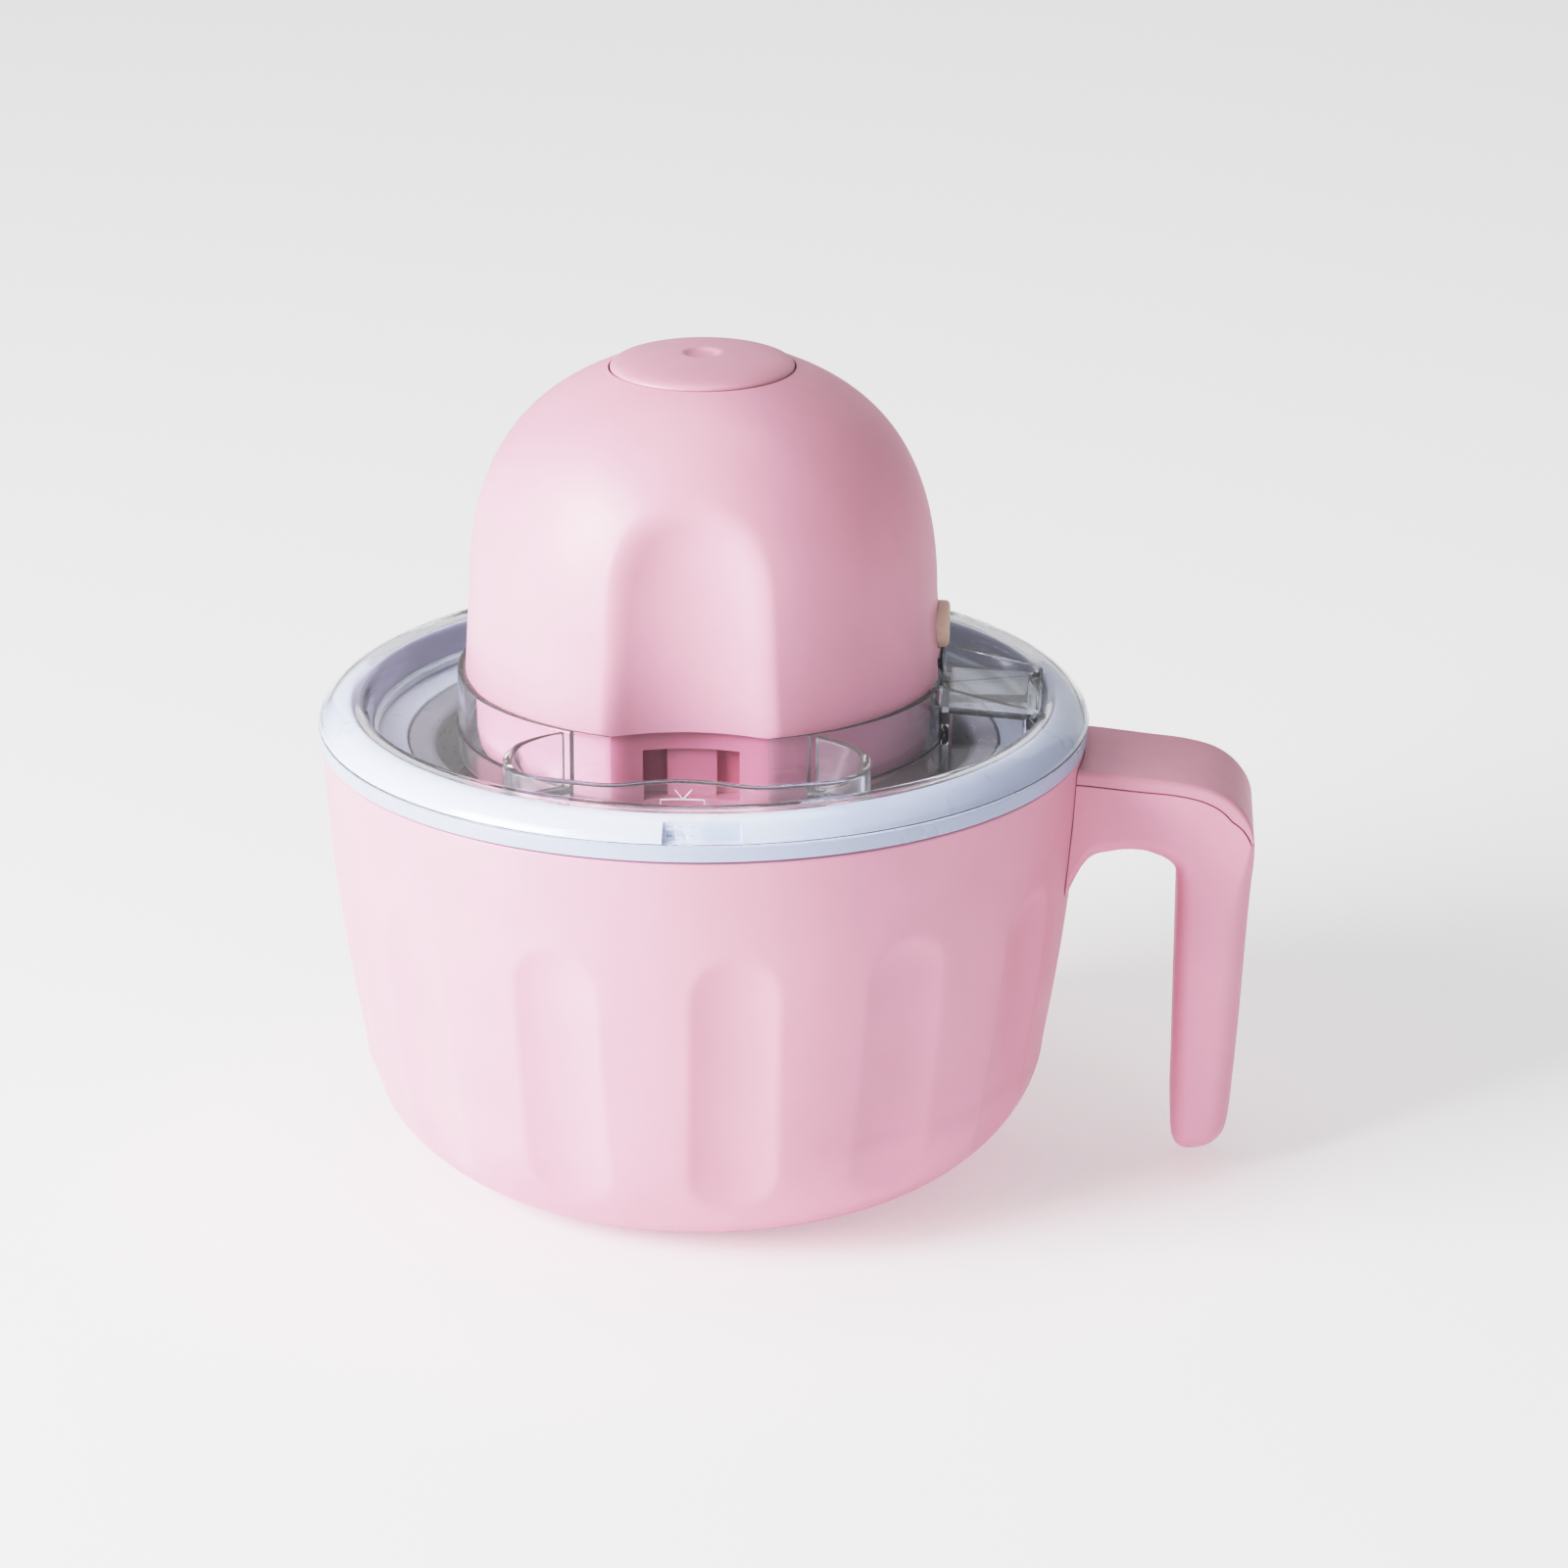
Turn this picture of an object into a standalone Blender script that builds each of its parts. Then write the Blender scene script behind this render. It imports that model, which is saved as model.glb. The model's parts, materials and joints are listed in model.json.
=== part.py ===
"""Compact ice cream maker: a fluted housing with a side handle, a removable freezer bowl,
a turning paddle, a clear lid with a filling chute, and a domed motor head with its gear train.

Lengths are millimetres in the constants and helpers and become metres when a mesh is made.
The origin is under the middle of the base pad, +Z is up, the handle points along +X and the
filling chute along -Y. Azimuths are measured from -Y towards +X.
"""
from math import cos, degrees, hypot, pi, radians, sin, sqrt

import bmesh
import bpy
from mathutils import Matrix, Vector

MM = 0.001
GAP = 0.35                       # clearance between neighbouring fixed pieces

# Housing
BASE_R, CORNER_R, CORNER_Z = 50.0, 34.8, 34.0
BASE_Z, SHELL_TOP = 1.5, 112.0
SHELL_WALL = 3.0
FLUTE_PITCHES = 13               # one pitch is left out where the handle is
FLUTE_PITCH = 360.0 / FLUTE_PITCHES
FLUTE_AZ = 8.0                   # azimuth of the flute beside the chute
FLUTE_HALF, FLUTE_DEPTH = 10.8, 2.0
FLUTE_LOW, FLUTE_HIGH = 17.0, 87.0
PAD_R, COVER_R = 37.0, 46.5
BASE_SCREW_R = 41.8

# Handle
HANDLE_HALF = 18.0
CAP_DROP = 3.6                   # how far the top cap reaches down the arm's side
HANDLE_SCREWS = [(-9.0, 96.0), (9.0, 96.0)]      # y and z of the screws from inside the wall

# Freezer bowl
RIM_R, RIM_BAND_TOP = 95.0, 116.25
PLUG_AT, PLUG_R = (30.0, 0.0), 5.4
RING_STEPS = 40
HALF_STEP = radians(-90) + pi / RING_STEPS       # keeps a flat, not a corner, at the front

# Lid
COLLAR_R, COLLAR_WALL, COLLAR_TOP = 60.6, 1.6, 129.5
FLOOR_TOP, FLOOR_WALL = 116.0, 1.6
WELL_TOP, WELL_HOLE = 107.6, 16.0
CHUTE_WALL = 1.8
CHUTE_SLOPE, CHUTE_LOW = 0.155, 126.0
MOUTH_R = 79.3                   # the chute's hole in the lid's floor stays inside the gasket
CHANNEL_HALF, RIB_WALL = 18.0, 2.0
SLOT_R = (89.6, 93.6)
SLOT_AZ = (-2.6, 9.0)

# Motor head
DOME_LOW, DOME_R = 129.3, 58.6
DOME_WALL = 2.2
BUTTON_R, BUTTON_EDGE_Z, BUTTON_CROWN = 22.44, 206.0, 3.5
GRIP_Y, GRIP_CURVE, GRIP_BLEND = 50.2, 0.0125, 3.5
BASE_INSET = 2.5
HEAD_LOW, HEAD_TOP = 108.2, 129.0
KEY_Z, KEY_HALF_Y, KEY_HALF_Z = 141.2, 8.0, 4.75
INLET_LOW, INLET_TOP, INLET_HALF = 125.0, 134.8, 8.0

# Gear train: a motor pinion and two double idlers drive the output gear
MODULE = 1.0
PINION, WHEEL_1 = 8, 32
SMALL_1, WHEEL_2 = 9, 28
SMALL_2, OUTPUT = 9, 28
LAYER_A, LAYER_B, LAYER_C = (114.6, 119.4), (120.4, 124.6), (125.8, 130.0)
CASE_X, CASE_Y, CASE_R = -10.0, 7.0, 31.5

PINK = (0.80, 0.49, 0.57)
PINK_CAP = (0.72, 0.42, 0.50)


# ---------------------------------------------------------------- mesh helpers

def clear_scene():
    for thing in list(bpy.data.objects):
        bpy.data.objects.remove(thing, do_unlink=True)


def plastic(name, color, roughness=0.4, metallic=0.0, alpha=1.0):
    """One Principled BSDF material."""
    mat = bpy.data.materials.new(name)
    mat.use_nodes = True
    shader = mat.node_tree.nodes["Principled BSDF"]
    shader.inputs["Base Color"].default_value = (*color, 1.0)
    shader.inputs["Roughness"].default_value = roughness
    shader.inputs["Metallic"].default_value = metallic
    shader.inputs["Alpha"].default_value = alpha
    return mat


def empty(name, location=(0, 0, 0), parent=None):
    """A joint's frame: the pieces that move with it are its children."""
    thing = bpy.data.objects.new(name, None)
    bpy.context.scene.collection.objects.link(thing)
    thing.location = Vector(location) * MM
    if parent:
        thing.parent = parent
        thing.location = Vector(location) * MM - world_place(parent)
    return thing


def world_place(thing):
    place = Vector(thing.location)
    while thing.parent:
        thing = thing.parent
        place += thing.location
    return place


def mesh_from(name, shapes):
    """One mesh from closed shapes given as (points in mm, faces)."""
    bm = bmesh.new()
    for points, faces in shapes:
        verts = [bm.verts.new(Vector(p) * MM) for p in points]
        for face in faces:
            bm.faces.new([verts[i] for i in face])
    bmesh.ops.recalc_face_normals(bm, faces=bm.faces)
    mesh = bpy.data.meshes.new(name)
    bm.to_mesh(mesh)
    bm.free()
    return mesh


def piece(name, shapes, mat, joint=None):
    """A named sub-part whose origin is its joint's frame."""
    mesh = mesh_from(name, shapes)
    mesh.materials.append(mat)
    mesh.shade_smooth()
    mesh.set_sharp_from_angle(angle=radians(35))
    thing = bpy.data.objects.new(name, mesh)
    bpy.context.scene.collection.objects.link(thing)
    if joint:
        mesh.transform(Matrix.Translation(-world_place(joint)))
        thing.parent = joint
    return thing


def shape_with(thing, shapes, operation):
    """Boolean with closed shapes in world mm; the cutter stays as a hidden wire guide."""
    guide = bpy.data.objects.new(thing.name + "_" + operation.lower(), mesh_from("guide", shapes))
    bpy.context.scene.collection.objects.link(guide)
    guide.hide_render = True
    guide.display_type = "WIRE"
    step = thing.modifiers.new(operation.title(), "BOOLEAN")
    step.operation = operation
    step.solver = "EXACT"
    step.object = guide


def cut(thing, *shapes):
    shape_with(thing, shapes, "DIFFERENCE")


def join(thing, *shapes):
    shape_with(thing, shapes, "UNION")


def spin(profile, segments, centre=(0.0, 0.0), turn=0.0):
    """Solid of revolution about +Z from a closed (r, z) outline; r = 0 points become poles."""
    angles = [turn + 2 * pi * k / segments for k in range(segments)]
    return spin_at(lambda angle: profile, angles, centre)


def spin_at(profile_at, angles, centre=(0.0, 0.0)):
    """Like spin, with an outline that may change with the angle."""
    points, ring = [], []
    first = profile_at(angles[0])
    for k, angle in enumerate(angles):
        row = []
        for j, (r, z) in enumerate(profile_at(angle)):
            if first[j][0] <= 0 and k:
                row.append(ring[0][j])
                continue
            row.append(len(points))
            points.append((centre[0] + r * cos(angle), centre[1] + r * sin(angle), z))
        ring.append(row)
    faces = []
    for k, here in enumerate(ring):
        there = ring[(k + 1) % len(ring)]
        for j in range(len(first)):
            nxt = (j + 1) % len(first)
            face = []
            for index in (here[j], there[j], there[nxt], here[nxt]):
                if index not in face:
                    face.append(index)
            if len(face) > 2:
                faces.append(face)
    return points, faces


def prism(outline, low, high):
    """Vertical prism; low and high are heights or functions of (x, y)."""
    count = len(outline)
    height = [(side if callable(side) else (lambda x, y, value=side: value)) for side in (low, high)]
    points = [(x, y, height[0](x, y)) for x, y in outline]
    points += [(x, y, height[1](x, y)) for x, y in outline]
    faces = [list(range(count)), list(range(count, 2 * count))]
    faces += [[k, (k + 1) % count, count + (k + 1) % count, count + k] for k in range(count)]
    return points, faces


def along_x(shape, x=0.0, y=0.0, z=0.0):
    """Turn a shape made about +Z so that its axis lies along +X, then move it."""
    points, faces = shape
    return [(x + pz, y + px, z + py) for px, py, pz in points], faces


def block(low, high):
    outline = [(low[0], low[1]), (high[0], low[1]), (high[0], high[1]), (low[0], high[1])]
    return prism(outline, low[2], high[2])


def rod(radius, low, high, centre=(0.0, 0.0), segments=12):
    return spin([(0, low), (radius, low), (radius, high), (0, high)], segments, centre)


def curve_through(points, steps):
    """Catmull-Rom curve through the points, ends included."""
    ends = [tuple(2 * a - b for a, b in zip(points[0], points[1])),
            tuple(2 * a - b for a, b in zip(points[-1], points[-2]))]
    path = [ends[0]] + list(points) + [ends[1]]
    out = []
    for k in range(1, len(path) - 2):
        p0, p1, p2, p3 = path[k - 1:k + 3]
        for s in range(steps):
            t = s / steps
            out.append(tuple(0.5 * (2 * b + (c - a) * t + (2 * a - 5 * b + 4 * c - d) * t * t
                                    + (3 * b - a - 3 * c + d) * t ** 3)
                             for a, b, c, d in zip(p0, p1, p2, p3)))
    out.append(tuple(points[-1]))
    return out


def offset_outline(outline, distance):
    """Move a counter-clockwise outline outwards along its corner normals."""
    out, count = [], len(outline)
    for k in range(count):
        ax, ay = outline[k - 1]
        bx, by = outline[k]
        cx, cy = outline[(k + 1) % count]
        n1 = Vector((by - ay, ax - bx)).normalized()
        n2 = Vector((cy - by, bx - cx)).normalized()
        mid = (n1 + n2).normalized()
        reach = distance / max(mid.dot(n1), 0.5)
        out.append((bx + mid.x * reach, by + mid.y * reach))
    return out


def smooth_min(a, b, blend):
    h = min(max(0.5 + 0.5 * (b - a) / blend, 0.0), 1.0)
    return b * (1 - h) + a * h - blend * h * (1 - h)


def screw(name, at, head_z, length, mat, head=(2.8, 1.4), shank=1.4):
    """Pan-head screw driven upwards along +Z; its head is below head_z."""
    head_r, head_h = head
    outline = [(0, head_z - head_h + 0.7), (head_r * 0.7, head_z - head_h), (head_r, head_z - head_h * 0.4),
               (head_r, head_z), (shank, head_z), (shank, head_z + length - 0.8), (0, head_z + length)]
    return piece(name, [spin(outline, 8, at)], mat)


# ---------------------------------------------------------------- outlines

def shell_outer(z):
    """Outer radius of the housing: a soft base corner, then a slightly bowed wall."""
    if z < CORNER_Z:
        rise = min(max((CORNER_Z - z) / (CORNER_Z - BASE_Z), 0.0), 1.0)
        return BASE_R + CORNER_R * (1 - rise ** 1.75) ** (1 / 1.75)
    up = z - CORNER_Z
    return BASE_R + CORNER_R + 0.19 * up - 0.0009 * up * up


def flute_depth(azimuth, z):
    """Depth of the round-ended scoops round the wall; the handle takes one scoop's place."""
    turns = (azimuth - FLUTE_AZ) / FLUTE_PITCH
    if round(turns) % FLUTE_PITCHES == 3:
        return 0.0
    across = radians((turns - round(turns)) * FLUTE_PITCH) * shell_outer(z)
    beyond = max(z - (FLUTE_HIGH - FLUTE_HALF), FLUTE_LOW + FLUTE_HALF - z, 0.0)
    reach = hypot(across, beyond) / FLUTE_HALF
    if reach >= 1:
        return 0.0
    return FLUTE_DEPTH * (1 - reach ** 2)


def grip_radius(angle):
    """Distance from the axis to the finger groove's floor, front and back alike."""
    s, c = abs(sin(angle)), abs(cos(angle))
    if s < 0.5:
        return 999.0
    if c < 1e-4:
        return GRIP_Y
    under = s * s - 4 * GRIP_CURVE * GRIP_Y * c * c
    if under <= 0:
        return 999.0
    return (s - sqrt(under)) / (2 * GRIP_CURVE * c * c)


def dome_outline(steps):
    """Outer (r, z) of the dome from its lower edge to the button."""
    out = [(DOME_R, DOME_LOW), (58.1, 139.0), (57.4, 150.0)]
    a, b, c, d = (57.4, 150.0), (57.4, 187.0), (40.0, 199.0), (BUTTON_R + 0.4, BUTTON_EDGE_Z - 0.15)
    for k in range(1, steps + 1):
        t = k / steps
        out.append(tuple((1 - t) ** 3 * p + 3 * (1 - t) ** 2 * t * q + 3 * (1 - t) * t * t * r + t ** 3 * s
                         for p, q, r, s in zip(a, b, c, d)))
    return out


def inward(outline, wall):
    """Offset an open (r, z) outline towards the axis by the wall thickness."""
    out = []
    for k, (r, z) in enumerate(outline):
        before = outline[max(k - 1, 0)]
        after = outline[min(k + 1, len(outline) - 1)]
        dr, dz = after[0] - before[0], after[1] - before[1]
        size = hypot(dr, dz)
        out.append((r - wall * dz / size, z + wall * dr / size))
    return out


def head_angles():
    """Angles round the motor head, closer together across the two finger grooves."""
    out = []
    for side in (-90, 90):
        out += [radians(side + 5.4 * k) for k in range(-5, 6)]
        out += [radians(side + 27 + 14.0 * k) for k in range(1, 9)]
    return sorted(out)


def bean_outline():
    """Centre line of the chute wall's top, from its left root round the front to its right root."""
    half = [(-30.5, -53.2), (-36.0, -55.9), (-40.8, -60.0), (-42.6, -65.8), (-41.3, -71.0), (-36.3, -74.8),
            (-27.0, -77.0), (-17.0, -78.4), (-8.0, -76.7), (0.0, -75.9)]
    right = [(-x, y) for x, y in reversed(half[:-1])]
    return curve_through(half + right, 2)


def chute_top(x, y):
    """The chute's upper edge is a plane that climbs towards the collar."""
    return CHUTE_LOW + CHUTE_SLOPE * (y + 78.6)


def grip_front(offset, half_angle=31.0, limit=58.0, steps=14):
    """Front of the motor base seen from above, moved out by an offset, from -X to +X."""
    out = []
    for k in range(steps + 1):
        angle = radians(-90 - half_angle + 2 * half_angle * k / steps)
        r = min(grip_radius(angle), limit) + offset
        out.append((r * cos(angle), r * sin(angle)))
    return out


def handle_sides():
    """Matching points on the handle's outer and inner edges in the XZ plane, root to tip."""
    outer = [(88.0, 110.0), (97.0, 109.3), (109.0, 107.9), (119.0, 106.7), (126.6, 104.6), (132.0, 100.8),
             (135.4, 95.0), (136.1, 87.0), (135.5, 78.0), (134.5, 62.0), (133.5, 45.0), (132.3, 28.0),
             (131.0, 15.0), (129.0, 10.2), (125.6, 7.2)]
    inner = [(88.0, 71.0), (94.6, 84.6), (101.0, 87.6), (107.5, 88.1), (112.0, 87.0), (115.2, 85.2),
             (116.9, 82.8), (117.3, 78.0), (117.3, 71.0), (117.2, 58.0), (117.1, 43.0), (117.0, 27.0),
             (117.0, 13.5), (118.4, 8.4), (121.8, 6.3)]
    return curve_through(outer, 2), curve_through(inner, 2)


# ---------------------------------------------------------------- gears

def gear_outline(teeth, turn, centre):
    """Straight-flanked teeth with backlash; a tooth points along the turn angle."""
    pitch_r = MODULE * teeth / 2
    root, tip = pitch_r - 1.15 * MODULE, pitch_r + 0.8 * MODULE
    quarter = 2 * pi / teeth / 4
    marks = [(root, -1.35), (tip, -0.42), (tip, 0.42), (root, 1.35)]
    out = []
    for k in range(teeth):
        for r, side in marks:
            angle = turn + 2 * pi * k / teeth + side * quarter
            out.append((centre[0] + r * cos(angle), centre[1] + r * sin(angle)))
    return out


def gear_at(teeth, layer, turn, centre):
    return prism(gear_outline(teeth, turn, centre), layer[0], layer[1])


def centre_distance(teeth_a, teeth_b):
    return MODULE * (teeth_a + teeth_b) / 2 + 0.08


def polar(start, distance, angle):
    return start[0] + distance * cos(angle), start[1] + distance * sin(angle)


TO_IDLER_2, TO_IDLER_1, TO_MOTOR = radians(180), radians(75), radians(-20)
AXIS_OUT = (0.0, 0.0)
AXIS_2 = polar(AXIS_OUT, centre_distance(OUTPUT, SMALL_2), TO_IDLER_2)
AXIS_1 = polar(AXIS_2, centre_distance(WHEEL_2, SMALL_1), TO_IDLER_1)
AXIS_M = polar(AXIS_1, centre_distance(WHEEL_1, PINION), TO_MOTOR)
MOTOR_SCREWS = [polar(AXIS_M, 8.0, TO_MOTOR + side * pi / 2) for side in (-1, 1)]
HEAD_SCREWS = [polar(AXIS_OUT, 37.0, radians(angle)) for angle in (-35, 85, 205)]


def mesh_turn(teeth, towards):
    """Turn a gear so that a gap, not a tooth, faces its partner."""
    return towards + pi / teeth


# ---------------------------------------------------------------- housing

def build_housing(mats):
    across = (-7.2, -4.0, 0.0, 4.0, 7.2, FLUTE_PITCH / 2)
    angles = [radians(FLUTE_AZ - 90 + FLUTE_PITCH * k + side) for k in range(FLUTE_PITCHES) for side in across]
    heights = [BASE_Z, 5.0, 13.0, 20.0, 30.0, 60.0, 77.0, 84.5, SHELL_TOP]

    def outline(angle):
        azimuth = degrees(angle) + 90
        wall = [(shell_outer(z) - flute_depth(azimuth, z), z) for z in heights]
        return [(0, BASE_Z)] + wall + [(0, SHELL_TOP)]

    shell = piece("outer_shell", [spin_at(outline, angles)], mats["pink"])
    cavity = [(0, 0), (COVER_R + 0.5, 0), (COVER_R + 0.5, 5.2), (60.0, 8.0), (71.0, 13.5), (78.0, 22.0),
              (81.4, 34.0)]
    cavity += [(shell_outer(z) - SHELL_WALL, z) for z in (62.0, 90.0, SHELL_TOP + 1)] + [(0, SHELL_TOP + 1)]
    cut(shell, spin(cavity, 36))
    cut(shell, *[along_x(rod(2.0, 80, 100, segments=8), y=y, z=z) for y, z in HANDLE_SCREWS])

    sleeve = [(0, 12.2), (38.0, 12.2), (38.0, 5.2), (45.5, 5.2), (45.5, 12.2), (62.0, 12.2), (71.5, 18.0),
              (79.0, 31.0), (86.2, 109.0), (90.4, 109.0), (90.4, 111.0), (85.2, 111.0), (77.8, 31.6),
              (70.8, 19.8), (62.0, 14.0), (0, 14.0)]
    sleeve = piece("inner_sleeve", [spin(sleeve, 36)], mats["white"])
    spots = [polar((0, 0), BASE_SCREW_R, radians(-90 + 120 * k)) for k in range(3)]
    cut(sleeve, *[rod(1.8, 4.0, 11.0, at, 8) for at in spots])

    cover = [(0, 2.3), (PAD_R + GAP, 2.3), (PAD_R + GAP, 1.3), (COVER_R, 1.3), (COVER_R, 4.7), (0, 4.7)]
    cover = piece("base_cover", [spin(cover, 28)], mats["grey"])
    cut(cover, *[spin([(0, 1.0), (3.3, 1.0), (3.3, 2.9), (1.8, 2.9), (1.8, 5.0), (0, 5.0)], 8, at)
                 for at in spots])
    for k, at in enumerate(spots):
        screw("base_screw_%d" % (k + 1), at, 2.7, 7.2, mats["steel"])

    pad = [(0, 0), (PAD_R - 1.0, 0), (PAD_R, 0.8), (PAD_R, 1.95), (0, 1.95)]
    piece("base_pad", [spin(pad, 28)], mats["rubber"])


def section(outer, inner, half, corner):
    """Rounded rectangle spanned between an outer and an inner edge point."""
    (x0, z0), (x1, z1) = outer, inner
    depth = hypot(x1 - x0, z1 - z0)
    corner = min(corner, depth * 0.42)
    ux, uz = (x1 - x0) / depth, (z1 - z0) / depth
    ring = []
    for k, (cy, cd) in enumerate(((1, 1), (-1, 1), (-1, 0), (1, 0))):
        iy = cy * (half - corner)
        idp = depth - corner if cd else corner
        for step in range(3):
            angle = radians(90 * k + 45 * step)
            y, d = iy + corner * cos(angle), idp + corner * sin(angle)
            ring.append((x0 + ux * d, y, z0 + uz * d))
    return ring


def loft(rings):
    """Closed solid through rings of equal point counts."""
    count = len(rings[0])
    points = [p for ring in rings for p in ring]
    faces = [list(range(count)), list(range(len(points) - count, len(points)))]
    for k in range(len(rings) - 1):
        for j in range(count):
            a, b = k * count + j, k * count + (j + 1) % count
            faces.append([a, b, b + count, a + count])
    return points, faces


def build_handle(mats):
    outer, inner = handle_sides()
    last = len(outer) - 1
    cap_end = 13
    body, cap = [], []
    for k, (o, i) in enumerate(zip(outer, inner)):
        depth = hypot(i[0] - o[0], i[1] - o[1])
        ux, uz = (i[0] - o[0]) / depth, (i[1] - o[1]) / depth
        half = HANDLE_HALF - 3.0 * min(1.0, max(0.0, (k - 8) / 14))
        tip = max(0.0, (k - (last - 5)) / 5)
        half *= sqrt(max(1 - 0.8 * tip * tip, 0.05))
        if k <= cap_end:
            drop = CAP_DROP * min(1.0, (cap_end + 0.6 - k) / 3.0)
            seam = (o[0] + ux * drop, o[1] + uz * drop)
            low = (o[0] + ux * (drop + GAP), o[1] + uz * (drop + GAP))
            cap.append(section(o, seam, half, 1.9))
            body.append(section(low, i, half, 4.5))
        else:
            body.append(section(o, i, half, 6.0))
    arm = piece("handle", [loft(body)], mats["pink"])
    cap = piece("handle_cap", [loft(cap)], mats["pink_cap"])
    wall = [(shell_outer(z) + GAP, z) for z in (40.0, 60.0, 80.0, 95.0, SHELL_TOP)]
    wall = [(0, 40.0)] + wall + [(RIM_R + 0.3, SHELL_TOP), (RIM_R + 0.3, 125.0), (0, 125.0)]
    for thing in (arm, cap):
        cut(thing, spin(wall, 104, turn=radians(FLUTE_AZ - 90)))
    cut(arm, *[along_x(rod(1.8, 80, 108, segments=10), y=y, z=z) for y, z in HANDLE_SCREWS])
    for k, (y, z) in enumerate(HANDLE_SCREWS):
        seat = shell_outer(z) - SHELL_WALL - 1.4
        outline = [(0, seat - 1.7), (2.6, seat - 1.7), (3.0, seat - 0.6), (3.0, seat), (1.4, seat),
                   (1.4, 105.0), (0, 106.4)]
        piece("handle_screw_%d" % (k + 1), [along_x(spin(outline, 8), y=y, z=z)], mats["steel"])


# ---------------------------------------------------------------- freezer bowl

def build_bowl(mats, frame):
    shell = [(0, 15.3), (61.6, 15.3), (69.6, 20.6), (76.4, 32.0), (83.6, 109.7), (81.6, 109.7), (74.4, 32.6),
             (68.4, 22.6), (61.2, 17.3), (0, 17.3)]
    shell = piece("bowl_shell", [spin(shell, 36)], mats["white"], frame)
    cut(shell, rod(PLUG_R + 0.4, 15.0, 18.0, PLUG_AT, 16))

    plug = [(0, 14.6), (7.6, 14.6), (7.6, 15.0), (PLUG_R, 15.0), (PLUG_R, 17.5), (0, 17.5)]
    piece("fill_plug", [spin(plug, 16, PLUG_AT)], mats["grey"], frame)

    rim = [(RIM_R, 112.35), (RIM_R, RIM_BAND_TOP), (93.2, RIM_BAND_TOP), (92.3, 118.0), (89.8, 120.2),
           (87.2, 121.3), (85.9, 120.7), (84.8, 117.4), (83.2, 111.9), (73.2, 111.3), (73.2, 110.1),
           (84.4, 110.1), (85.4, 112.35)]
    rim = piece("bowl_rim", [spin(rim, RING_STEPS, turn=HALF_STEP)], mats["band"], frame)
    cut(rim, *bayonet_slots())

    liner = [(0, 26.5), (45.0, 26.5), (57.0, 30.0), (63.3, 41.0), (67.4, 109.6), (72.8, 109.6), (72.8, 111.0),
             (66.0, 111.0), (61.8, 41.6), (56.0, 31.4), (45.0, 28.0), (5.0, 28.0), (4.2, 32.2), (0, 32.2)]
    piece("bowl_liner", [spin(liner, 32)], mats["aluminium"], frame)

    gel = [(0, 17.9), (60.2, 17.9), (67.2, 23.2), (73.2, 33.2), (79.8, 102.0), (67.9, 102.0), (64.2, 40.8),
           (57.6, 29.2), (45.0, 25.9), (0, 25.9)]
    piece("coolant_gel", [spin(gel, 28)], mats["gel"], frame)


def bayonet_slots():
    """Blocks that make the two bayonet slots in the rim."""
    out = []
    for side in (0, 180):
        marks = [side + SLOT_AZ[0] + (SLOT_AZ[1] - SLOT_AZ[0]) * k / 4 for k in range(5)]
        near = [polar((0, 0), SLOT_R[0] - 0.2, radians(m - 90)) for m in marks]
        far = [polar((0, 0), SLOT_R[1] + 3.0, radians(m - 90)) for m in marks]
        out.append(prism(far + near[::-1], RIM_BAND_TOP + 0.25, 122.0))
    return out


def build_paddle(mats, frame):
    """Flat stirring frame on a square-topped spindle, with a skewed scraper on each side."""
    outline = [(-54.5, 32.6), (54.5, 32.6), (59.2, 44.0), (61.4, 92.0), (0, 94.0), (-61.4, 92.0), (-59.2, 44.0)]
    plate = [(x, -1.7, z) for x, z in outline] + [(x, 1.7, z) for x, z in outline]
    count = len(outline)
    faces = [list(range(count)), list(range(count, 2 * count))]
    faces += [[k, (k + 1) % count, count + (k + 1) % count, count + k] for k in range(count)]
    bar = piece("paddle", [(plate, faces)], mats["paddle"], frame)
    windows = []
    for side in (-1, 1):
        for low, high in ((39.5, 60.0), (65.5, 86.0)):
            near, bottom, top = 9.5 * side, 51.8 * side, 53.6 * side
            corners = [(near, low), (bottom, low), (top, high), (near, high)]
            points = [(x, -4, z) for x, z in corners] + [(x, 4, z) for x, z in corners]
            windows.append((points, [[0, 1, 2, 3], [4, 5, 6, 7], [0, 1, 5, 4], [1, 2, 6, 5], [2, 3, 7, 6],
                                     [3, 0, 4, 7]]))
    cut(bar, *windows)
    hub = [(0, 36.0), (5.2, 36.0), (5.4, 30.0), (7.0, 30.0), (7.0, 90.0), (5.6, 94.8), (0, 94.8)]
    join(bar, spin(hub, 16))
    cut(bar, rod(5.0, 25.0, 34.0, segments=16))
    join(bar, block((-4.0, -1.5, 92.0), (4.0, 1.5, 100.3)))


# ---------------------------------------------------------------- lid

def strip(start, end, half):
    """Plan of a straight band along +X."""
    return [(start, -half), (end, -half), (end, half), (start, half)]


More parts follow.
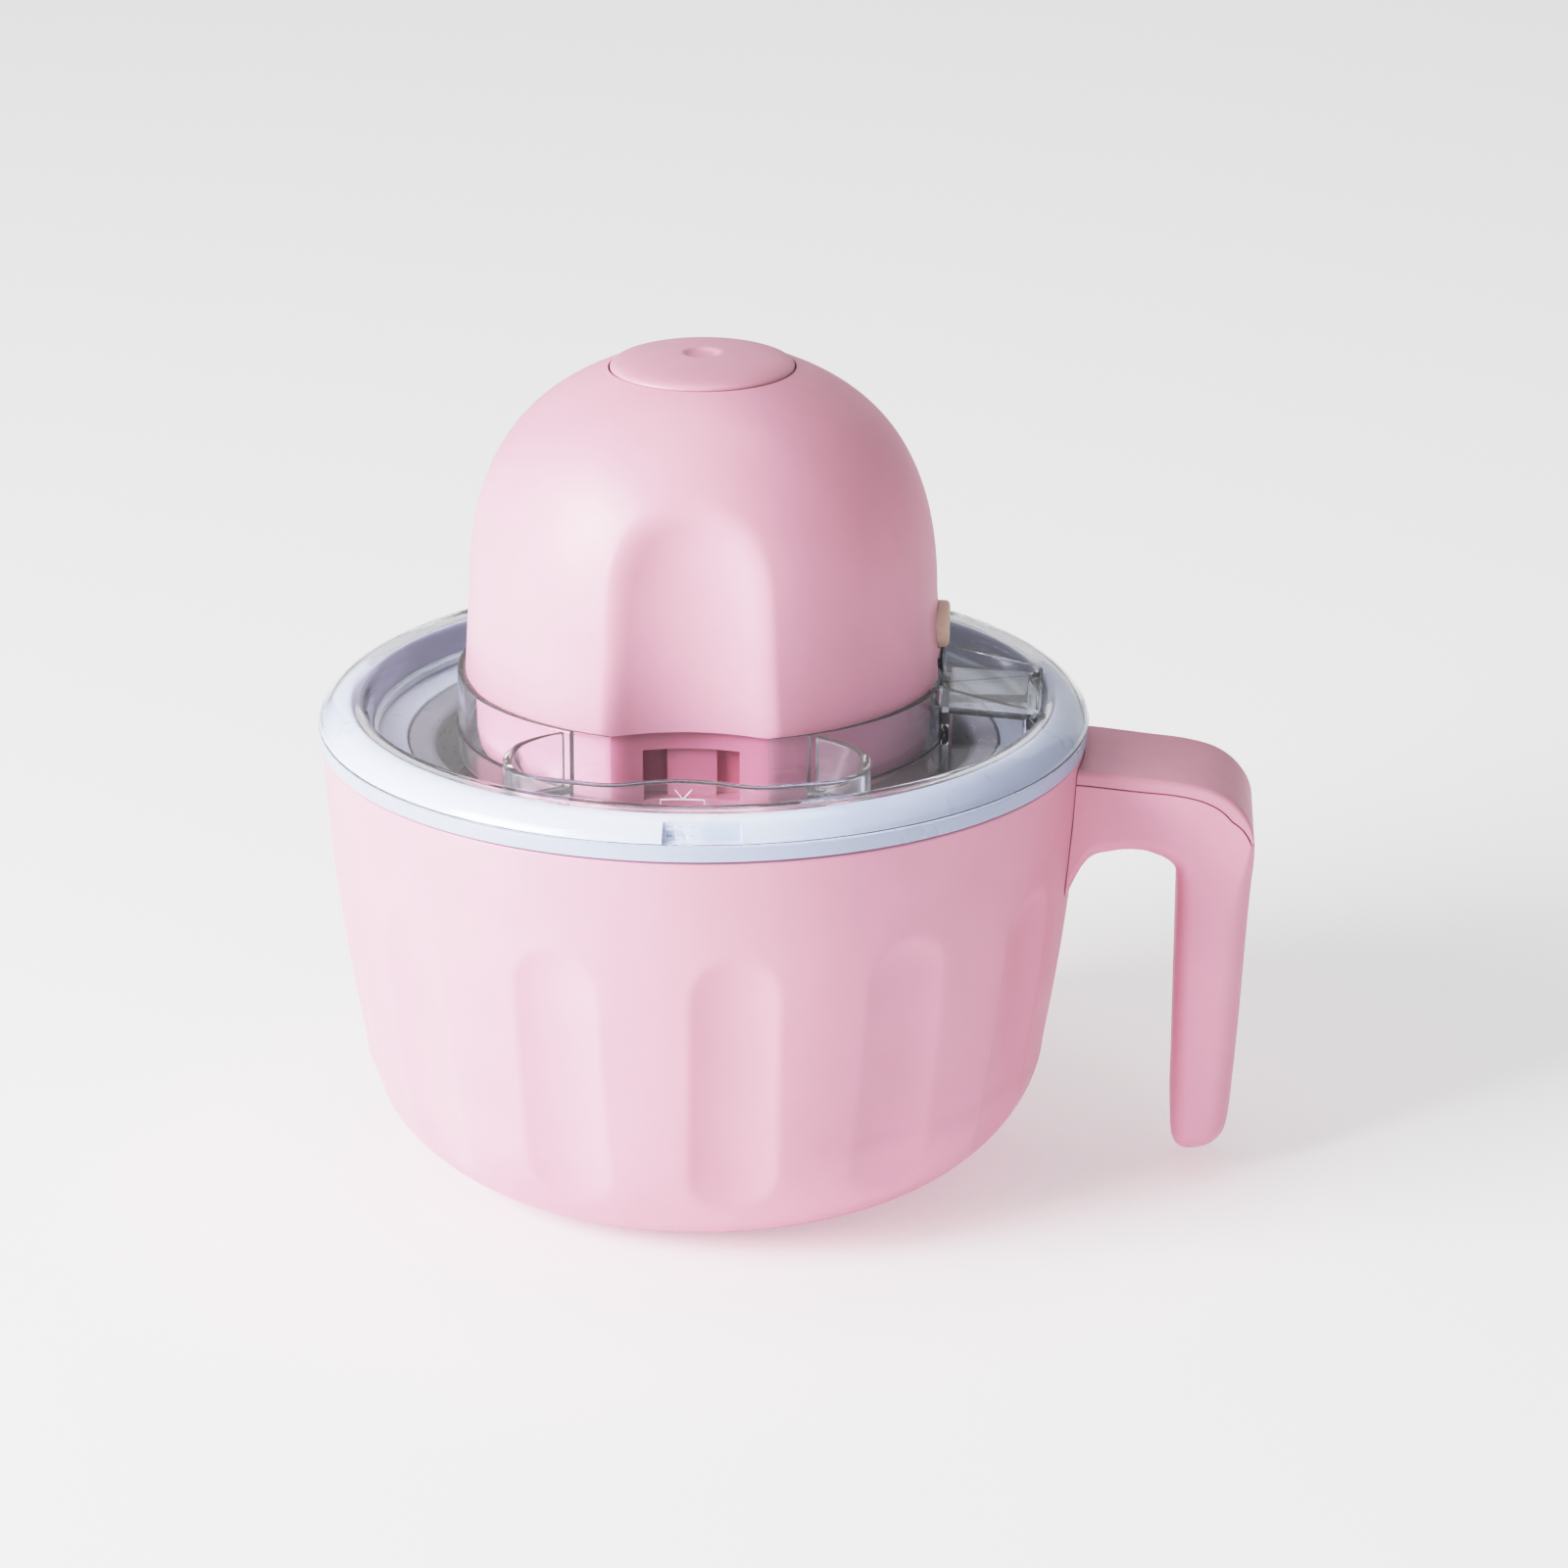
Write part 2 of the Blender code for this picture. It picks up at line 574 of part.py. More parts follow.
def build_lid(mats, frame, gasket_frame):
    floor_low = FLOOR_TOP - FLOOR_WALL
    well_low = WELL_TOP - FLOOR_WALL
    inner = COLLAR_R - COLLAR_WALL
    outline = [(95.0, 116.65), (94.2, 118.7), (91.4, 121.8), (87.5, 123.6), (85.0, 123.6), (83.4, 121.2),
               (81.6, FLOOR_TOP), (COLLAR_R, FLOOR_TOP), (COLLAR_R, COLLAR_TOP),
               (inner, COLLAR_TOP), (inner, WELL_TOP), (WELL_HOLE, WELL_TOP), (WELL_HOLE, well_low),
               (inner - 0.6, well_low), (COLLAR_R, well_low + 1.4), (COLLAR_R, floor_low), (81.6, floor_low),
               (83.9, 116.6), (85.1, 121.0), (87.0, 121.9), (90.4, 120.5), (93.0, 118.1), (93.7, 116.65)]
    lid = piece("lid", [spin(outline, RING_STEPS, turn=HALF_STEP)], mats["clear"], frame)

    bean = bean_outline()
    back = grip_front(1.6)[::-1]
    shut = [p for p in back if -29.0 < p[0] < 29.0]
    loop = bean + shut
    ring_out = offset_outline(loop, CHUTE_WALL / 2)
    ring_in = offset_outline(loop, -CHUTE_WALL / 2)
    join(lid, prism(ring_out, floor_low + 0.2, chute_top))
    cut(lid, prism(ring_in, FLOOR_TOP + 0.4, 140.0))
    hole = offset_outline(loop, -CHUTE_WALL / 2 - 0.2)
    hole = [(x * min(1, MOUTH_R / hypot(x, y)), y * min(1, MOUTH_R / hypot(x, y))) for x, y in hole]
    cut(lid, prism(hole, 100.0, 120.0))

    def rib_top(x, y):
        return COLLAR_TOP - (COLLAR_TOP - 123.6) * (x - COLLAR_R) / (86.0 - COLLAR_R)

    def deck_top(x, y):
        return 125.2 - 2.0 * (x - COLLAR_R) / (86.0 - COLLAR_R)

    start, end, half = 58.4, 83.4, CHANNEL_HALF
    join(lid, prism(strip(start, end, half), floor_low + 0.3, rib_top))
    under = [(82.0, 114.1), (84.2, 116.4), (85.3, 120.8), (87.0, 121.6), (90.3, 120.2), (92.9, 117.8),
             (92.9, 110.0), (82.0, 110.0)]
    cut(lid, spin(under, RING_STEPS, turn=HALF_STEP))
    cut(lid, prism(strip(COLLAR_R + 0.1, 79.8, half - RIB_WALL), 110.0, lambda x, y: deck_top(x, y) - 1.6))
    cut(lid, prism(strip(50.0, end - 0.7, half - RIB_WALL), deck_top, 140.0))
    cut(lid, spin([(0, WELL_TOP), (inner, WELL_TOP), (inner, 140.0), (0, 140.0)], RING_STEPS, turn=HALF_STEP))
    lip_out, lip_in = grip_front(0.4, 22.0), grip_front(1.9, 22.0)
    join(lid, prism(lip_in + lip_out[::-1], well_low + 0.2, WELL_TOP + 3.0))

    stubs = []
    for side in (0, 180):
        marks = [side - 1.5, side + 0.4, side + 2.3]
        near = [polar((0, 0), 90.2, radians(m - 90)) for m in marks]
        far = [polar((0, 0), 93.0, radians(m - 90)) for m in marks]
        stubs.append(prism(far + near[::-1], 117.0, 120.6))
    join(lid, *stubs)

    ring = [(80.2, 112.3), (82.0, 112.3), (82.7, 113.2), (82.0, 114.05), (80.2, 114.05)]
    piece("lid_gasket", [spin(ring, RING_STEPS, turn=HALF_STEP)], mats["silicone"], gasket_frame)


# ---------------------------------------------------------------- motor head

def build_head(mats, frame):
    angles = head_angles()
    outer = dome_outline(7)
    inner = inward(outer, DOME_WALL)
    inner[0] = (inner[0][0], DOME_LOW)
    inner = inner[:1] + inner[2:-2:2] + [(BUTTON_R + 0.4, inner[-1][1] - 0.3)]

    def dome(angle):
        grip = grip_radius(angle)
        outside = [(smooth_min(r, grip, GRIP_BLEND), z) for r, z in outer]
        inside = [(smooth_min(r, grip - DOME_WALL, GRIP_BLEND), z) for r, z in inner]
        return outside + inside[::-1]

    shell = piece("dome_shell", [spin_at(dome, angles)], mats["pink"], frame)
    key_hole = oval(KEY_HALF_Y + 0.4, KEY_HALF_Z + 0.4)
    cut(shell, along_x(prism(key_hole, 50.0, 64.0), z=KEY_Z))
    cut(shell, block((50.0, -INLET_HALF, 120.0), (64.0, INLET_HALF, INLET_TOP)))

    wall = [(50.6, HEAD_LOW), (53.6, 109.6), (55.3, 112.4), (56.0, 116.5), (56.1, HEAD_TOP)]
    lining = [(54.0, HEAD_TOP), (53.9, 117.0), (52.6, 112.6), (50.2, 110.4)]

    def skirt(angle):
        grip = grip_radius(angle) - BASE_INSET
        outside = [(smooth_min(r, grip, GRIP_BLEND), z) for r, z in wall]
        inside = [(smooth_min(r, grip - 2.0, GRIP_BLEND), z) for r, z in lining]
        return [(41.9, HEAD_LOW)] + outside + inside + [(41.9, 110.4)]

    base = piece("motor_base", [spin_at(skirt, angles)], mats["pink"], frame)
    cut(base, block((50.0, -INLET_HALF, INLET_LOW), (64.0, INLET_HALF, 140.0)))
    behind = [(x, -(GRIP_Y + GRIP_CURVE * x * x - BASE_INSET - 1.0)) for x in (-14, -7, 0, 7, 14)]
    join(base, prism(behind + [(14, -42.3), (-14, -42.3)], 109.3, 126.7))
    window = [(-11.6, -52), (11.6, -52), (11.6, -43.6), (6.0, -43.6), (6.0, -45.8), (-6.0, -45.8),
              (-6.0, -43.6), (-11.6, -43.6)]
    cut(base, prism(window, 111.8, 124.3))

    cover = [(7.2, 108.5), (41.5, 108.5), (41.5, 111.3), (7.2, 111.3)]
    cover = piece("head_bottom_cover", [spin(cover, 24)], mats["white"], frame)
    cut(cover, *[spin([(0, 108.0), (3.3, 108.0), (3.3, 109.9), (1.8, 109.9), (1.8, 112.0), (0, 112.0)], 8, at)
                 for at in HEAD_SCREWS])
    for k, at in enumerate(HEAD_SCREWS):
        screw("head_screw_%d" % (k + 1), at, 109.7, 7.0, mats["steel"]).parent = frame

    seal = [(4.5, 106.9), (9.6, 106.9), (10.2, 107.5), (10.2, 108.15), (4.5, 108.15)]
    piece("shaft_seal", [spin(seal, 16)], mats["silicone"], frame)


def oval(half_y, half_z, steps=6):
    """Stadium outline, wider than tall."""
    out = []
    for side, start in ((1, -90), (-1, 90)):
        for k in range(steps + 1):
            angle = radians(start + 180 * k / steps)
            out.append((side * (half_y - half_z) + half_z * cos(angle), half_z * sin(angle)))
    return out


def build_gear_case(mats, frame):
    floor = [(0, 111.7), (40.8, 111.7), (40.8, 113.5), (0, 113.5)]
    case = piece("gear_case", [spin(floor, 24)], mats["white"], frame)
    wall = [(29.5, 112.4), (CASE_R, 112.4), (CASE_R, 131.0), (29.5, 131.0)]
    join(case, spin(wall, 24, (CASE_X, CASE_Y), 0.05))
    for at in HEAD_SCREWS:
        join(case, rod(3.6, 112.9, 119.5, at, 8))
    holes = [rod(1.8, 110.0, 118.2, at, 8) for at in HEAD_SCREWS]
    cut(case, *holes, rod(6.9, 110.0, 115.0, segments=16))

    lid = [(0, 131.35), (CASE_R, 131.35), (CASE_R, 133.1), (0, 133.1)]
    lid = piece("gear_cover", [spin(lid, 24, (CASE_X, CASE_Y), 0.05)], mats["white"], frame)
    cut(lid, rod(2.6, 130.0, 135.0, AXIS_M, 12), *[rod(1.6, 130.0, 135.0, at, 8) for at in MOTOR_SCREWS])

    bush = [(4.5, 109.0), (6.5, 109.0), (6.5, 113.9), (4.5, 113.9)]
    piece("output_bush", [spin(bush, 16)], mats["brass"], frame)
    piece("gear_axle_1", [rod(1.5, 113.85, 131.0, AXIS_1, 8)], mats["steel"], frame)
    piece("gear_axle_2", [rod(1.5, 113.85, 125.2, AXIS_2, 8)], mats["steel"], frame)

    can = [(0, 133.5), (13.0, 133.5), (13.9, 134.6), (13.9, 170.2), (13.0, 171.2), (0, 171.2)]
    can = piece("motor_can", [spin(can, 20, AXIS_M)], mats["steel"], frame)
    cut(can, rod(1.55, 132.0, 166.0, AXIS_M), *[rod(1.6, 132.0, 138.0, at, 8) for at in MOTOR_SCREWS])
    cap = [(0, 171.6), (13.2, 171.6), (13.2, 174.6), (12.2, 175.6), (0, 175.6)]
    piece("motor_end_cap", [spin(cap, 20, AXIS_M)], mats["black"], frame)
    for k, at in enumerate(MOTOR_SCREWS):
        screw("motor_screw_%d" % (k + 1), at, 131.0, 6.2, mats["steel"], (2.3, 1.3), 1.2).parent = frame


def build_gears(mats, out_frame, frame_1, frame_2, rotor_frame):
    """Each pair is turned so that a tooth of one faces a gap of the other."""
    gear = piece("output_gear", [gear_at(OUTPUT, LAYER_A, TO_IDLER_2, AXIS_OUT)], mats["nylon"], out_frame)
    cut(gear, rod(4.5, 110.0, 125.0, segments=16))
    shaft = [(0, 102.3), (4.0, 102.3), (4.0, 119.0), (3.4, 119.8), (0, 119.8)]
    piece("output_shaft", [spin(shaft, 16)], mats["steel"], out_frame)
    socket = [(0, 95.6), (7.2, 95.6), (8.0, 96.6), (8.0, 106.3), (4.5, 106.3), (4.5, 101.9), (0, 101.9)]
    socket = piece("drive_socket", [spin(socket, 16)], mats["nylon"], out_frame)
    cut(socket, block((-4.6, -2.5, 90.0), (4.6, 2.5, 100.9)))

    for name, small, wheel, low, high, at, towards_low, towards_high, joint in (
            ("idler_gear_2", SMALL_2, WHEEL_2, LAYER_A, LAYER_B, AXIS_2, TO_IDLER_2 + pi, TO_IDLER_1, frame_2),
            ("idler_gear_1", SMALL_1, WHEEL_1, LAYER_B, LAYER_C, AXIS_1, TO_IDLER_1 + pi, TO_MOTOR, frame_1)):
        small_teeth = gear_at(small, low, mesh_turn(small, towards_low), at)
        gear = piece(name, [small_teeth], mats["nylon"], joint)
        join(gear, rod(2.9, low[1] - 0.6, high[0] + 0.6, at, 10))
        join(gear, gear_at(wheel, high, towards_high, at))
        cut(gear, rod(2.0, 100.0, 140.0, at, 10))

    pinion = gear_at(PINION, LAYER_C, mesh_turn(PINION, TO_MOTOR + pi), AXIS_M)
    pinion = piece("motor_pinion", [pinion], mats["brass"], rotor_frame)
    cut(pinion, rod(1.5, 120.0, 140.0, AXIS_M, 10))
    piece("motor_shaft", [rod(1.15, 125.9, 165.0, AXIS_M, 10)], mats["steel"], rotor_frame)


def build_controls(mats, frame, button_frame, key_frame):
    ring = [(23.4, 188.4), (23.4, 201.2), (26.0, 200.4), (26.0, 186.6), (19.4, 186.6), (19.4, 188.4)]
    piece("button_frame", [spin(ring, 20)], mats["white"], frame)
    piece("control_board", [rod(22.0, 188.8, 190.4, segments=20)], mats["board"], frame)
    piece("start_switch", [block((-3.1, -3.1, 190.8), (3.1, 3.1, 194.1))], mats["black"], frame)

    crown = [(BUTTON_R * cos(radians(a)), BUTTON_EDGE_Z + BUTTON_CROWN * sin(radians(a)))
             for a in (0, 25, 50, 70)]
    cap = [(20.2, 200.0), (BUTTON_R, 200.0)] + crown
    cap += [(4.6, 209.4), (3.2, 208.8), (0, 208.5), (0, 203.8), (20.2, 202.8)]
    button = piece("top_button", [spin(cap, 28)], mats["pink_cap"], button_frame)
    join(button, rod(3.0, 196.3, 205.0))
    piece("button_spring", [helix(7.4, 0.55, 191.4, 202.2, 4)], mats["steel"], button_frame)

    key = along_x(prism(oval(KEY_HALF_Y, KEY_HALF_Z), 54.2, 60.5), z=KEY_Z)
    piece("power_key", [key], mats["tan"], key_frame)
    piece("side_switch", [block((47.0, -4.0, 138.6), (52.4, 4.0, 144.2))], mats["black"], frame)
    piece("inlet_board", [block((45.0, -11.0, 114.2), (46.6, 11.0, 147.0))], mats["board"], frame)
    inlet = piece("dc_inlet", [block((47.0, -6.4, 125.6), (55.4, 6.4, 134.2))], mats["black"], frame)
    barrel = [(0.8, 48.6), (2.9, 48.6), (2.9, 60.0), (0.8, 60.0)]
    cut(inlet, along_x(spin(barrel, 12), z=129.9))


def helix(radius, wire, low, high, turns):
    """Round-wire coil with flat ends."""
    steps, sides = turns * 8, 4
    rings = []
    for k in range(steps + 1):
        angle = 2 * pi * turns * k / steps
        z = low + (high - low) * k / steps
        ring = []
        for j in range(sides):
            a = 2 * pi * j / sides
            r = radius + wire * cos(a)
            ring.append((r * cos(angle), r * sin(angle), z + wire * sin(a)))
        rings.append(ring)
    return loft(rings)


# ---------------------------------------------------------------- assembly

def build():
    clear_scene()
    mats = {
        "pink": plastic("pink", PINK, 0.42),
        "pink_cap": plastic("pink_cap", PINK_CAP, 0.42),
        "band": plastic("band", (0.78, 0.82, 0.90), 0.3),
        "white": plastic("white", (0.82, 0.82, 0.84), 0.4),
        "grey": plastic("grey", (0.32, 0.31, 0.33), 0.5),
        "clear": plastic("clear", (0.86, 0.89, 0.94), 0.06, alpha=0.3),
        "silicone": plastic("silicone", (0.70, 0.72, 0.76), 0.5),
        "rubber": plastic("rubber", (0.06, 0.06, 0.07), 0.85),
        "aluminium": plastic("aluminium", (0.74, 0.75, 0.78), 0.3, 1.0),
        "gel": plastic("gel", (0.35, 0.55, 0.75), 0.2),
        "paddle": plastic("paddle", (0.84, 0.82, 0.83), 0.4),
        "steel": plastic("steel", (0.60, 0.60, 0.62), 0.3, 1.0),
        "brass": plastic("brass", (0.72, 0.52, 0.26), 0.35, 1.0),
        "nylon": plastic("nylon", (0.86, 0.84, 0.78), 0.5),
        "black": plastic("black", (0.03, 0.03, 0.035), 0.45),
        "board": plastic("board", (0.04, 0.22, 0.12), 0.5),
        "tan": plastic("tan", (0.38, 0.25, 0.20), 0.5),
    }
    bowl = empty("freezer_bowl_joint")
    paddle = empty("paddle_joint", (0, 0, 32), bowl)
    gasket = empty("lid_lift_joint", (0, 0, 112), bowl)
    lid = empty("lid_twist_joint", (0, 0, 112), gasket)
    head = empty("head_lift_joint", (0, 0, 0), lid)
    drive = empty("drive_joint", (0, 0, 114), head)
    idler_1 = empty("idler_1_joint", (*AXIS_1, 120), head)
    idler_2 = empty("idler_2_joint", (*AXIS_2, 114), head)
    rotor = empty("rotor_joint", (*AXIS_M, 126), head)
    button = empty("top_button_joint", (0, 0, 206), head)
    key = empty("power_key_joint", (54, 0, KEY_Z), head)

    build_housing(mats)
    build_handle(mats)
    build_bowl(mats, bowl)
    build_paddle(mats, paddle)
    build_lid(mats, lid, gasket)
    build_head(mats, head)
    build_gear_case(mats, head)
    build_gears(mats, drive, idler_1, idler_2, rotor)
    build_controls(mats, head, button, key)


build()
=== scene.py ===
"""The visible surfaces, materials and lighting of the compact ice cream maker.

Lengths are millimetres in the constants and outlines and become metres when a mesh is made.
Azimuths are measured from -Y towards +X, as the filling chute faces -Y and the handle +X.
"""
import json
from math import cos, degrees, hypot, pi, radians, sin, sqrt

import bmesh
import bpy
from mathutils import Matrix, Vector


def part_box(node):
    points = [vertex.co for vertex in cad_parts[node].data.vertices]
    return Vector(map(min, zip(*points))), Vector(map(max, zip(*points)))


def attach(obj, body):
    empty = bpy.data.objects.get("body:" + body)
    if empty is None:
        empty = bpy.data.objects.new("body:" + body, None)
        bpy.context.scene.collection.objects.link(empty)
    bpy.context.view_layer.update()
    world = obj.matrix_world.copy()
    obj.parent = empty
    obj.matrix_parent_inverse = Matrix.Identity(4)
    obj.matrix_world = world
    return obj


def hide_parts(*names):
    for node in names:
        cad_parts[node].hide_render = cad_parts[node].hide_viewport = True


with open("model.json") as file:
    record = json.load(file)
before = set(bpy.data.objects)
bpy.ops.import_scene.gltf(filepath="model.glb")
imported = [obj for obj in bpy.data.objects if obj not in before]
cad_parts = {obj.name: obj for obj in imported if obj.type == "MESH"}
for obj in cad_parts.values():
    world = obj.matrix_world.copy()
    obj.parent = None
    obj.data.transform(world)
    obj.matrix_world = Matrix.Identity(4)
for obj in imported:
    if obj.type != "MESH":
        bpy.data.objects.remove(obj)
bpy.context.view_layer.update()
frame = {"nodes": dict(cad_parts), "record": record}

MM = 0.001
TURNED = 240                     # segments round the large turned pieces
SHARP_TURN = 32                  # degrees; edges that turn by more than this stay sharp


def high(node, axis):
    """Upper limit of a CAD node along an axis, in millimetres."""
    return round(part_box(node)[1][axis] / MM, 2)


def low(node, axis):
    """Lower limit of a CAD node along an axis, in millimetres."""
    return round(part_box(node)[0][axis] / MM, 2)


# Housing
SHELL_TOP, SHELL_LOW = high("outer_shell", 2), low("outer_shell", 2)
BASE_R, CORNER_R, CORNER_Z, CORNER_POWER = 50.0, 34.8, 34.0, 1.75
SHELL_WALL, LIP_DROP = 3.0, 1.2
FLUTE_PITCHES = 13
FLUTE_PITCH = 360.0 / FLUTE_PITCHES
FLUTE_AZ = 8.0
FLUTE_HALF, FLUTE_DEPTH = 10.8, 2.0
FLUTE_LOW, FLUTE_HIGH = 17.0, 87.0
HANDLE_FLUTE = 3                 # this flute, counted from the first, is left out for the handle
PAD_R, COVER_R, BASE_SCREW_R = high("base_pad", 0), high("base_cover", 0), 41.8
SCREW_HEAD_R, SCREW_HEAD_H, SCREW_SHANK_R = 2.8, 1.4, 1.4

# Handle
HANDLE_HALF, CAP_DROP, SEAM = high("handle_cap", 1), 3.6, 0.2

# Freezer bowl
RIM_R, RIM_LOW, RIM_BAND_TOP = high("bowl_rim", 0), low("bowl_rim", 2) + 2.25, 116.25

# Lid
COLLAR_R, COLLAR_WALL, COLLAR_TOP = 60.6, 1.6, high("lid", 2)
FLOOR_TOP, FLOOR_WALL = 116.0, 1.6
FLOOR_LOW = FLOOR_TOP - FLOOR_WALL
WELL_LOW = low("lid", 2)
WELL_TOP, WELL_HOLE, WELL_R = WELL_LOW + FLOOR_WALL, 16.0, COLLAR_R - COLLAR_WALL
LID_TURN = pi / TURNED - pi / 2  # first angle of the lid's turned shapes, shared so that facets meet
CHUTE_WALL, CHUTE_SLOPE, CHUTE_FRONT, CHUTE_LOW = 2.3, 0.155, 78.6, 126.0
MOUTH_R = 79.3
CHANNEL_START, CHANNEL_END, CHANNEL_HALF, RIB_WALL = 58.4, 83.4, 18.0, 2.0
CREST_R, CREST_TOP = 86.0, 123.6
DECK_HIGH, DECK_FALL, DECK_WALL = 125.2, 2.0, 1.6
SLOT_R, SLOT_AZ = 89.6, (-2.6, 9.0)

# Motor head
DOME_LOW, DOME_WALL = low("dome_shell", 2), 2.2
BUTTON_R, BUTTON_EDGE_Z, BUTTON_CROWN = high("top_button", 0), 206.0, 3.5
GRIP_Y, GRIP_CURVE, GRIP_BLEND, BASE_INSET = 50.2, 0.0125, 2.8, 2.5
NO_GRIP = 999.0                  # groove distance at angles that no groove reaches
SCOOP_LOW, SCOOP_HIGH, SCOOP_DEPTH = 150.0, 184.5, 1.5
HEAD_LOW, HEAD_TOP = low("motor_base", 2), high("motor_base", 2)
KEY_Z, KEY_HALF_Y, KEY_HALF_Z = 141.2, high("power_key", 1), 4.75
INLET_LOW, INLET_TOP, INLET_HALF = 125.0, 134.8, 8.0


# ---------------------------------------------------------------- shapes

def mesh_of(name, shape):
    """Mesh, in metres, of a shape given as (points in millimetres, faces)."""
    points, faces = shape
    bm = bmesh.new()
    verts = [bm.verts.new(Vector(p) * MM) for p in points]
    for face in faces:
        bm.faces.new([verts[i] for i in face])
    bmesh.ops.recalc_face_normals(bm, faces=bm.faces)
    mesh = bpy.data.meshes.new(name)
    bm.to_mesh(mesh)
    bm.free()
    return mesh


def solid(name, shape):
    """Object made from a shape, linked to the scene."""
    thing = bpy.data.objects.new(name, mesh_of(name, shape))
    bpy.context.scene.collection.objects.link(thing)
    return thing


def boolean(thing, shape, operation):
    """Cut or join one closed shape, and keep the result as the thing's own mesh."""
    guide = solid("guide", shape)
    step = thing.modifiers.new("shape", "BOOLEAN")
    step.operation = operation
    step.solver = "EXACT"
    step.object = guide
    settle(thing)
    bpy.data.objects.remove(guide, do_unlink=True)


def cut(thing, *shapes):
    for shape in shapes:
        boolean(thing, shape, "DIFFERENCE")


def join(thing, *shapes):
    for shape in shapes:
        boolean(thing, shape, "UNION")


def settle(thing):
    """Replace a thing's mesh with the mesh that its modifiers make."""
    view = bpy.context.evaluated_depsgraph_get()
    mesh = bpy.data.meshes.new_from_object(thing.evaluated_get(view))
    thing.modifiers.clear()
    thing.data = mesh


def dress(thing, mat, body, slot, *nodes):
    """Shade, paint and mount a finished piece, which stands for the CAD nodes."""
    thing.data.materials.clear()
    thing.data.materials.append(mat)
    thing.data.shade_smooth()
    thing.data.set_sharp_from_angle(angle=radians(SHARP_TURN))
    normals = thing.modifiers.new("normals", "WEIGHTED_NORMAL")
    normals.keep_sharp = True
    settle(thing)
    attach(thing, body)
    if nodes:
        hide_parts(*nodes)
    return thing


def spin(profile, segments=TURNED, centre=(0.0, 0.0), turn=0.0):
    """Solid of revolution about +Z from a closed (r, z) outline; r = 0 points become poles."""
    angles = [turn + 2 * pi * k / segments for k in range(segments)]
    return spin_at(lambda angle: profile, angles, centre)


def spin_at(profile_at, angles, centre=(0.0, 0.0)):
    """Like spin, with an outline that may change with the angle."""
    points, ring = [], []
    first = profile_at(angles[0])
    for k, angle in enumerate(angles):
        row = []
        for j, (r, z) in enumerate(profile_at(angle)):
            if first[j][0] <= 0 and k:
                row.append(ring[0][j])
                continue
            row.append(len(points))
            points.append((centre[0] + r * cos(angle), centre[1] + r * sin(angle), z))
        ring.append(row)
    faces = []
    for k, here in enumerate(ring):
        there = ring[(k + 1) % len(ring)]
        for j in range(len(first)):
            nxt = (j + 1) % len(first)
            face = []
            for index in (here[j], there[j], there[nxt], here[nxt]):
                if index not in face:
                    face.append(index)
            if len(face) > 2:
                faces.append(face)
    return points, faces


def prism(outline, bottom, top):
    """Vertical prism; bottom and top are heights or functions of (x, y)."""
    count = len(outline)
    height = [(side if callable(side) else (lambda x, y, value=side: value)) for side in (bottom, top)]
    points = [(x, y, height[0](x, y)) for x, y in outline]
    points += [(x, y, height[1](x, y)) for x, y in outline]
    faces = [list(range(count)), list(range(count, 2 * count))]
    faces += [[k, (k + 1) % count, count + (k + 1) % count, count + k] for k in range(count)]
    return points, faces


def loft(rings):
    """Solid through rings of equal point counts, closed by its first and last ring."""
    count = len(rings[0])
    points = [p for ring in rings for p in ring]
    faces = [list(range(count)), list(range(len(points) - count, len(points)))]
    for start in range(0, len(points) - count, count):
        for j in range(count):
            nxt = (j + 1) % count
            faces.append([start + j, start + nxt, start + count + nxt, start + count + j])
    return points, faces


def upright(outline, half):
    """Plate from an (x, z) outline, with its faces at y = -half and y = +half."""
    points, faces = prism(outline, -half, half)
    return [(x, y, z) for x, z, y in points], faces


def rounded_plan(outline, radius):
    """Like rounded, for an outline that also runs on the other side of the axis."""
    shift = 1000.0               # moves the outline clear of the axis, where rounded keeps corners
    return [(x - shift, z) for x, z in rounded([(x + shift, z) for x, z in outline], radius)]


def bevel(thing, width):
    """Round a finished piece's sharp edges."""
    edge = thing.modifiers.new("edge", "BEVEL")
    edge.width = width * MM
    edge.segments = 2
    edge.limit_method = "ANGLE"
    edge.angle_limit = radians(50)
    settle(thing)


def along_x(shape, x=0.0, y=0.0, z=0.0):
    """Turn a shape made about +Z so that its axis lies along +X, then move it."""
    points, faces = shape
    return [(x + pz, y + px, z + py) for px, py, pz in points], faces


def block(start, end):
    """Box between two opposite corners."""
    outline = [(start[0], start[1]), (end[0], start[1]), (end[0], end[1]), (start[0], end[1])]
    return prism(outline, start[2], end[2])


def rounded(outline, radius, steps=4, least=25.0):
    """Closed (r, z) outline with its sharp corners turned into arcs; corners on the axis stay."""
    out, count = [], len(outline)
    for k in range(count):
        before, at, after = (Vector(outline[(k + s) % count]) for s in (-1, 0, 1))
        back, ahead = before - at, after - at
        turn = pi - back.angle(ahead)
        if at.x <= 0 or degrees(turn) < least:
            out.append(tuple(at))
            continue
        reach = min(radius * abs(turn / 2), 0.45 * back.length, 0.45 * ahead.length)
        start, end = at + back.normalized() * reach, at + ahead.normalized() * reach
        for s in range(steps + 1):
            t = s / steps
            out.append(tuple(start * (1 - t) ** 2 + at * 2 * t * (1 - t) + end * t * t))
    return out


